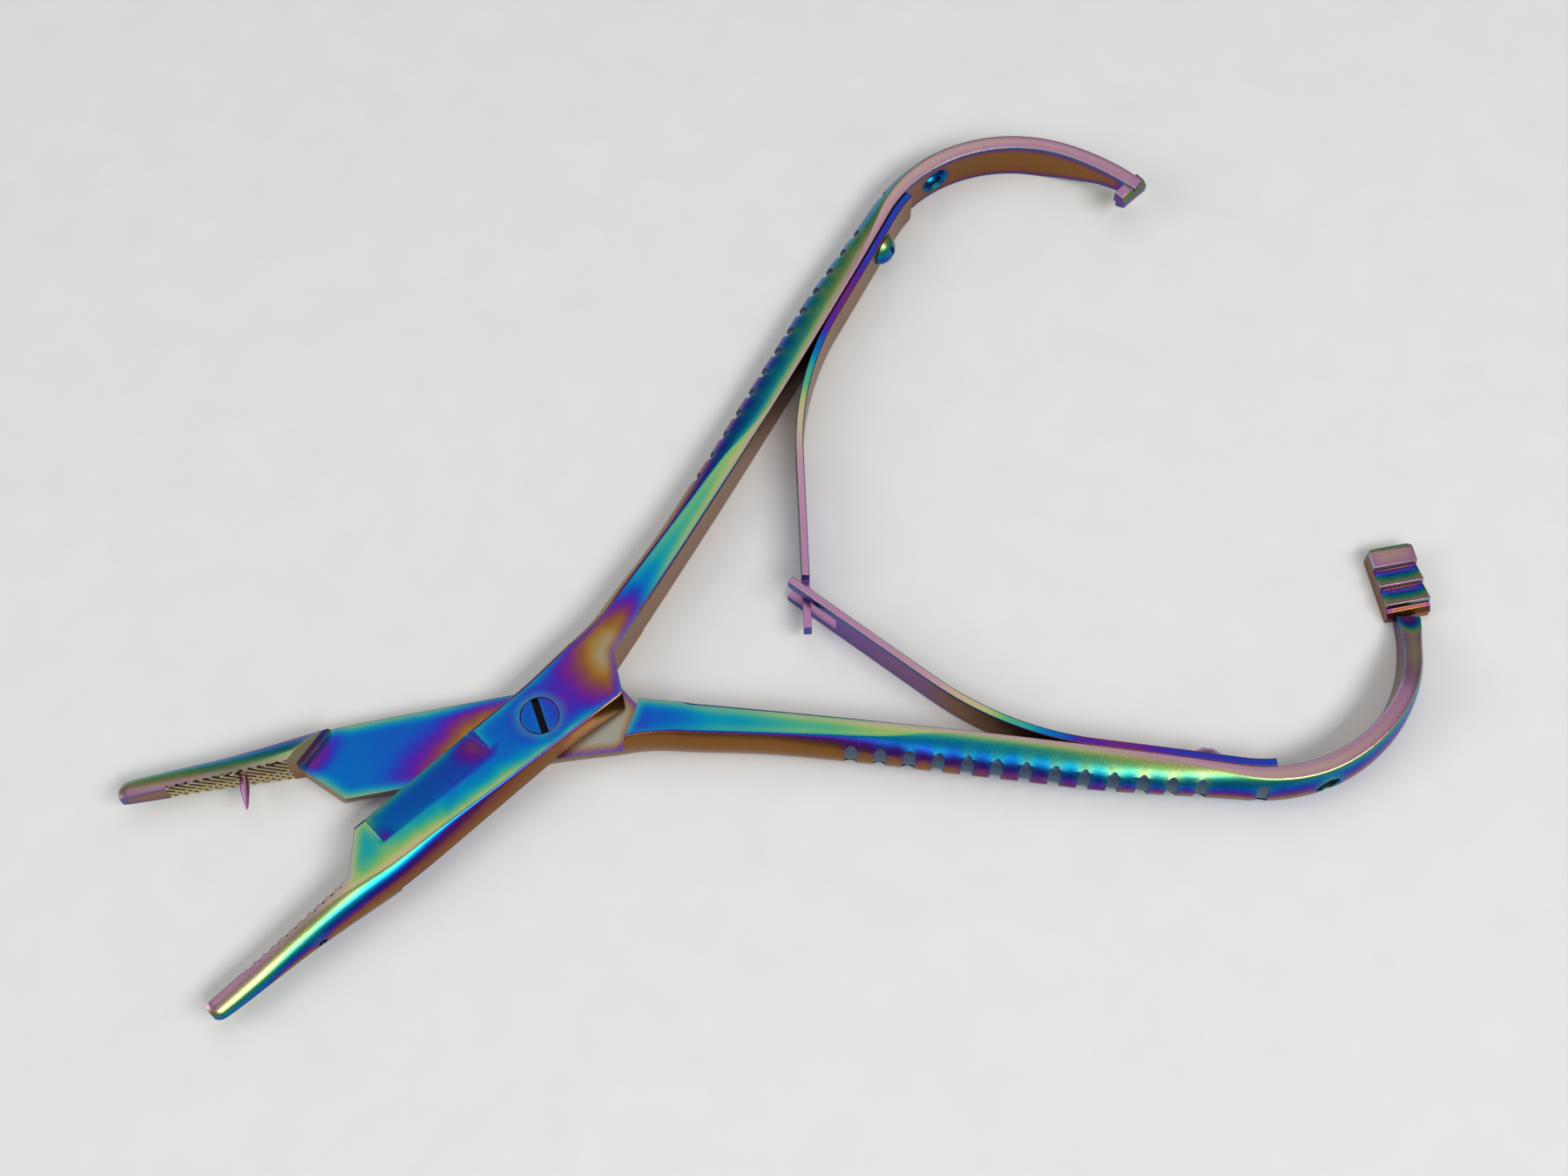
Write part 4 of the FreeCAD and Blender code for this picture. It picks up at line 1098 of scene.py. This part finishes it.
def coated_steel(name, stops, marks=(), mirrored=False, tilt_thinning_and_shade=0.78, edge_coat_and_highlight=0.42, thinnest=0.12,
                 along="X", rough=(0.24, 0.36)):
    """Stainless steel with a satin bead-blasted grain under a thin interference coat: a metal
    whose hue runs through gold, blue, green and pink with the coat's thickness. The coat thins
    where the surface turns away from the deposition side, and the dark purple and bronze this gives
    steep sides is partly painted shade; towards free edges it pales, partly a thicker coat and
    partly a painted highlight."""
    material, tree = new_finish(name)
    place = closed_place(tree, mirrored)
    run = node(tree, "ShaderNodeSeparateXYZ", {0: place}).outputs[along]
    first, last = stops[0][0], stops[-1][0]
    share = node(tree, "ShaderNodeMapRange", {"Value": run, "From Min": first, "From Max": last})
    base = node(tree, "ShaderNodeValToRGB", {"Fac": share.outputs["Result"]})
    base.color_ramp.interpolation = "EASE"
    set_ramp(base.color_ramp, [((p - first) / (last - first), v) for p, v in stops])
    fine_edge = node(tree, "ShaderNodeBevel", {"Radius": 0.12 * MM}, samples=4)
    wide_edge = node(tree, "ShaderNodeBevel", {"Radius": 2.0 * MM}, samples=6)
    facing = node(tree, "ShaderNodeVectorMath", {0: fine_edge.outputs[0], 1: (0, 0, 1)},
                  operation="DOT_PRODUCT").outputs["Value"]
    flatness = maths(tree, "ABSOLUTE", facing, clamp=True)
    lean = maths(tree, "MULTIPLY", maths(tree, "ARCCOSINE", flatness), 2 / math.pi)
    # Steep faces fall to dark purple and bronze: the coat thins there, and the dark is also painted
    # shade on the sides. Away from the grip, towards the bend and the jaws, the fall is slower: on
    # the bend this keeps the rounded side pale cream where the light's band lies, a painted
    # highlight.
    from_grip = maths(tree, "ABSOLUTE", maths(tree, "SUBTRACT", run, 25.0))
    onset = node(tree, "ShaderNodeMapRange", {
        "Value": from_grip, "From Min": 25.0, "From Max": 62.0, "To Min": 0.72,
        "To Max": 1.5}).outputs["Result"]
    drop = maths(tree, "MULTIPLY", maths(tree, "POWER", lean, onset), tilt_thinning_and_shade)
    # Paler coat near edges: partly the coat's real thickening at free edges, partly a painted
    # highlight along the ridges.
    wide = node(tree, "ShaderNodeVectorMath", {0: wide_edge.outputs[0], 1: fine_edge.outputs[0]},
                operation="DOT_PRODUCT").outputs["Value"]
    near_edge = maths(tree, "POWER", maths(tree, "SUBTRACT", 1.0, wide, clamp=True), 0.42)
    drift = node(tree, "ShaderNodeTexNoise", {"Vector": place, "Scale": 0.09, "Detail": 2.0})
    patchy = maths(tree, "MULTIPLY", maths(tree, "SUBTRACT", drift.outputs[0], 0.5), 0.09)
    thickness = maths(tree, "SUBTRACT", base.outputs["Color"], drop)
    thickness = maths(tree, "ADD", thickness, patchy)
    thickness = maths(tree, "MULTIPLY_ADD", near_edge, edge_coat_and_highlight, thickness)
    thickness = maths(tree, "MAXIMUM", thickness, thinnest)
    if marks:
        thickness = patches(tree, place, thickness, marks, maths(tree, "POWER", flatness, 3.0))
    tint = coat_colour(tree, maths(tree, "MAXIMUM", thickness, 0.0))
    grain = node(tree, "ShaderNodeTexNoise", {"Vector": place, "Scale": 9.0, "Detail": 3.0})
    sparkle = node(tree, "ShaderNodeMapRange", {"Value": grain.outputs[0], "From Min": 0.3,
                                                "From Max": 0.7, "To Min": 0.93, "To Max": 1.06})
    toned = node(tree, "ShaderNodeVectorMath", {0: tint, "Scale": sparkle.outputs["Result"]},
                 operation="SCALE").outputs[0]
    satin = node(tree, "ShaderNodeMapRange", {"Value": grain.outputs[0], "From Min": 0.3,
                                              "From Max": 0.7, "To Min": rough[0],
                                              "To Max": rough[1]})
    bump = node(tree, "ShaderNodeBump", {"Strength": 0.15, "Distance": 0.004 * MM,
                                         "Height": grain.outputs[0],
                                         "Normal": fine_edge.outputs[0]})
    surface(tree, Base_Color=toned, Metallic=1.0, Roughness=satin.outputs["Result"],
            Normal=bump.outputs[0])
    return material


# Coat thickness along an arm, from the jaw's tip to the handle's end, in millimetres from the
# pivot, and the places where neighbours shaded it while it was coated.
ALONG_COAT = {
    "a": [(-47, 0.84), (-42, 0.80), (-36, 0.70), (-30, 0.62), (-24, 0.54), (-10, 0.43),
          (0, 0.40), (10, 0.42), (20, 0.50), (30, 0.60), (40, 0.68), (50, 0.75), (70, 0.81),
          (90, 0.82), (105, 0.88)],
    "b": [(-47, 0.86), (-42, 0.78), (-36, 0.70), (-30, 0.64), (-26, 0.60), (-20, 0.42),
          (-8, 0.40), (0, 0.40), (10, 0.34), (13, 0.40), (20, 0.50), (30, 0.60), (40, 0.69),
          (50, 0.76), (70, 0.82), (88, 0.82), (98, 0.90), (105, 0.86)],
}
ALONG_LAP = [(-30, 0.42), (-10, 0.40), (-3, 0.36), (1, 0.10), (3, 0.02), (12, 0.02)]
ALONG_GRIND = [(-24, 0.46), (-14, 0.43), (-6, 0.42)]
COAT_MARKS = {
    "a": [(12.3, -0.2, 0, 13.0, 11.0, -0.42), (-16.0, -3.6, -4.8, 34.0, 4.2, 0.32),
          (0.0, 0.0, 0, 4.4, 4.4, -0.32)],
    "b": [(100.2, 5.6, 0, 4.6, 3.4, -0.95)],
}
LAP_MARKS = [(-8.6, 0.9, -34, 16.0, 6.5, -0.31), (-26.2, -1.4, -45, 7.0, 3.4, -0.30)]
GRIND_MARKS = [(-7.2, 2.6, 10, 4.2, 4.6, -0.22), (-5.6, 3.0, 8, 1.1, 5.0, 1.6),
               (-21.6, 1.0, 0, 1.8, 2.4, -0.20)]


def arm_finishes(side):
    """Finishes of one arm by the face that they cover, in the order of its material slots."""
    mirrored = side == "b"
    return {
        "coat": coated_steel("rainbow_coat_" + side, ALONG_COAT[side], COAT_MARKS[side], mirrored),
        "lap": coated_steel("ground_lap_" + side, ALONG_LAP, LAP_MARKS, mirrored, thinnest=0.02,
                            rough=(0.20, 0.30)),
        "grind": coated_steel("ground_bevel_" + side, ALONG_GRIND, GRIND_MARKS, mirrored,
                              tilt_thinning_and_shade=0.30, rough=(0.20, 0.30)),
        "bevel": coated_steel("cream_bevel_" + side, [(-30, 0.79), (-24, 0.77)], (), mirrored,
                              tilt_thinning_and_shade=0.0, edge_coat_and_highlight=0.08),
        "knurl": knurled_steel("knurled_face_" + side, mirrored),
        "bore": coated_steel("bored_wall_" + side, [(0, 0.42), (90, 0.40)], (), mirrored,
                             tilt_thinning_and_shade=0.1, edge_coat_and_highlight=0.5),
        # Dark blue-grey groove floors: bare steel, darkened past its own colour as painted shade in
        # the recess.
        "groove": plain_steel("milled_groove_" + side, "#51647A", 0.42),
        "teeth": coated_steel("ratchet_coat_" + side, [(1.9, 0.06), (2.4, 0.58), (2.7, 0.86)], (),
                              mirrored, tilt_thinning_and_shade=0.1, edge_coat_and_highlight=0.3, along="Z"),
    }


def give(piece, material, body, slot, *nodes):
    """Puts a finish on a piece and fastens it to its body in place of CAD nodes."""
    if material:
        piece.data.materials.clear()
        piece.data.materials.append(material)
    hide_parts(*nodes)
    if body:
        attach(piece, body)


class FORCEPS_OT_arms(bpy.types.Operator):
    """Forge, lap, grind and coat both arms"""
    bl_idname = "forceps.arms"
    bl_label = "Arms"

    def execute(self, context):
        z = sizes()
        give(make_arm_a(z, arm_finishes("a")), None, "arm_a", "arm_coat", "arm_a")
        give(make_arm_b(z, arm_finishes("b")), None, "arm_b", "arm_coat", "arm_b")
        return {"FINISHED"}


class FORCEPS_OT_pivot_screw(bpy.types.Operator):
    """Turn and slot the pivot screw"""
    bl_idname = "forceps.pivot_screw"
    bl_label = "Pivot screw"

    def execute(self, context):
        coat = coated_steel("blue_coated_screw", [(-3, 0.43), (0, 0.40), (3, 0.33)], tilt_thinning_and_shade=0.5,
                            edge_coat_and_highlight=0.12)
        # Near-black slot: painted shade down in the screw's slot.
        slot_shade_finish = plain_steel("slot_painted_shade", "#17191F", 0.5)
        give(make_pivot_screw(sizes(), coat, slot_shade_finish), None, "arm_b", "screw_coat",
             "pivot_screw")
        return {"FINISHED"}


class FORCEPS_OT_cleaning_pin(bpy.types.Operator):
    """Turn the pointed cleaning pin"""
    bl_idname = "forceps.cleaning_pin"
    bl_label = "Cleaning pin"

    def execute(self, context):
        coat = coated_steel("pale_coated_pin", [(-35, 0.80), (-33, 0.96)], tilt_thinning_and_shade=0.35)
        give(make_cleaning_pin(sizes()), coat, "arm_b", "pin_coat", "cleaning_pin")
        return {"FINISHED"}


LEAF_STOPS = [(30, 0.97), (42, 0.93), (48, 0.82), (52, 0.62), (56, 0.42), (59, 0.26),
              (63, 0.20), (70, 0.30), (80, 0.34)]


class FORCEPS_OT_springs(bpy.types.Operator):
    """Form the two leaf springs"""
    bl_idname = "forceps.springs"
    bl_label = "Leaf springs"

    def execute(self, context):
        z = sizes()
        flex = {j["child"]: Vector(j["pos_m"]) for j in frame["joints"]}
        for arm in ARMS:
            coat = coated_steel("mauve_coated_spring_" + arm, LEAF_STOPS, (), arm == "b",
                                tilt_thinning_and_shade=0.72, edge_coat_and_highlight=0.1)
            leaf = make_leaf(z, arm)
            give(leaf, coat, None, "spring_coat", "leaf_spring_" + arm)
            hinge = flex["spring_" + arm]
            tip, _ = leaf_stations(z, z.leaf_straight)[-1]
            swing = z.open_half
            free = Matrix.Rotation(swing, 2) @ tip * MM
            if arm == "b":
                free.y = -free.y
            way = Vector((free.x, free.y, hinge.z)) - hinge
            way = way.normalized() * MM
            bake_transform(leaf)
        return {"FINISHED"}


class FORCEPS_OT_spring_screws(bpy.types.Operator):
    """Turn and slot the two domed spring screws"""
    bl_idname = "forceps.spring_screws"
    bl_label = "Spring screws"

    def execute(self, context):
        z = sizes()
        for arm in ARMS:
            thick = 0.80 if arm == "a" else 1.25
            coat = coated_steel("domed_screw_coat_" + arm, [(60, thick), (80, thick)], (),
                                arm == "b", tilt_thinning_and_shade=0.52, edge_coat_and_highlight=0.2)
            give(make_spring_screw(z, arm), coat, "arm_" + arm, "screw_coat", "spring_screw_" + arm)
        return {"FINISHED"}


class FORCEPS_OT_stage(bpy.types.Operator):
    """Set the floor, the lights and the camera"""
    bl_idname = "forceps.stage"
    bl_label = "Stage"

    def execute(self, context):
        scene = context.scene
        mesh = bmesh.new()
        bmesh.ops.create_grid(mesh, x_segments=1, y_segments=1, size=3)
        floor = new_piece("floor", mesh)
        paper, tree = new_finish("pale_paper")
        fibre = node(tree, "ShaderNodeTexNoise", {"Scale": 900.0, "Detail": 3.0})
        tone = node(tree, "ShaderNodeMix", {"Factor": fibre.outputs[0], "A": linear("#DCDCDA"),
                                            "B": linear("#E4E4E2")}, data_type="RGBA")
        surface(tree, Base_Color=tone.outputs["Result"], Roughness=0.9)
        floor.data.materials.append(paper)

        centre = Vector((0.027, 0.0, 0.0))
        lamps = [
            ("front_light", (0.18, -0.60, 0.78), 0.80, 0.66, 0.24, 4.2),
            ("top_light", (0.10, 0.35, 0.93), 0.95, 0.80, 0.80, 1.8),
            ("left_light", (-0.80, 0.25, 0.55), 0.85, 0.50, 0.50, 2.0),
        ]
        for name, way, distance, width, height, power in lamps:
            data = bpy.data.lights.new(name, "AREA")
            data.shape = "RECTANGLE"
            data.energy = power
            data.size = width
            data.size_y = height
            lamp = bpy.data.objects.new(name, data)
            direction = Vector(way).normalized()
            lamp.location = centre + direction * distance
            lamp.rotation_euler = direction.to_track_quat("Z", "Y").to_euler()
            scene.collection.objects.link(lamp)

        world = bpy.data.worlds.new("soft_room")
        world.use_nodes = True
        tree = world.node_tree
        tree.nodes.clear()
        light = node(tree, "ShaderNodeBackground", {"Color": linear("#C9CCD0"), "Strength": 0.42})
        node(tree, "ShaderNodeOutputWorld", {"Surface": light.outputs[0]})
        scene.world = world

        eye = Vector((-0.0161, -0.0906, 0.2327))
        target = Vector((0.0320, 0.00251, 0.0028))
        data = bpy.data.cameras.new("camera")
        data.lens = 50
        data.sensor_width = 36
        data.clip_start = 0.01
        camera = bpy.data.objects.new("camera", data)
        camera.location = eye
        camera.rotation_euler = (target - eye).to_track_quat("-Z", "Y").to_euler()
        scene.collection.objects.link(camera)
        scene.camera = camera
        scene.view_settings.view_transform = "Standard"
        return {"FINISHED"}


OPERATORS = (FORCEPS_OT_arms, FORCEPS_OT_pivot_screw, FORCEPS_OT_cleaning_pin,
             FORCEPS_OT_springs, FORCEPS_OT_spring_screws, FORCEPS_OT_stage)


class FORCEPS_PT_panel(bpy.types.Panel):
    """Lists the forceps' sizes and the steps that build it"""
    bl_label = "Forceps"
    bl_idname = "FORCEPS_PT_panel"
    bl_space_type = "VIEW_3D"
    bl_region_type = "UI"
    bl_category = "Forceps"

    def draw(self, context):
        for operator in OPERATORS:
            self.layout.operator(operator.bl_idname)
        for attribute, group in {**SIZE_GROUPS, "forceps_coat": CoatColours}.items():
            box = self.layout.box()
            for name in group.__annotations__:
                box.prop(getattr(context.scene, attribute), name)


CLASSES = (*SIZE_GROUPS.values(), CoatColours, *OPERATORS, FORCEPS_PT_panel)


def register():
    for item in CLASSES:
        bpy.utils.register_class(item)
    for attribute, group in SIZE_GROUPS.items():
        setattr(bpy.types.Scene, attribute, PointerProperty(type=group))
    bpy.types.Scene.forceps_coat = PointerProperty(type=CoatColours)


def unregister():
    del bpy.types.Scene.forceps_coat
    for attribute in SIZE_GROUPS:
        delattr(bpy.types.Scene, attribute)
    for item in reversed(CLASSES):
        bpy.utils.unregister_class(item)


def main():
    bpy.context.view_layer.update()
    register()
    for operator in OPERATORS:
        group, name = operator.bl_idname.split(".")
        getattr(getattr(bpy.ops, group), name)()


if __name__ == "__main__":
    main()
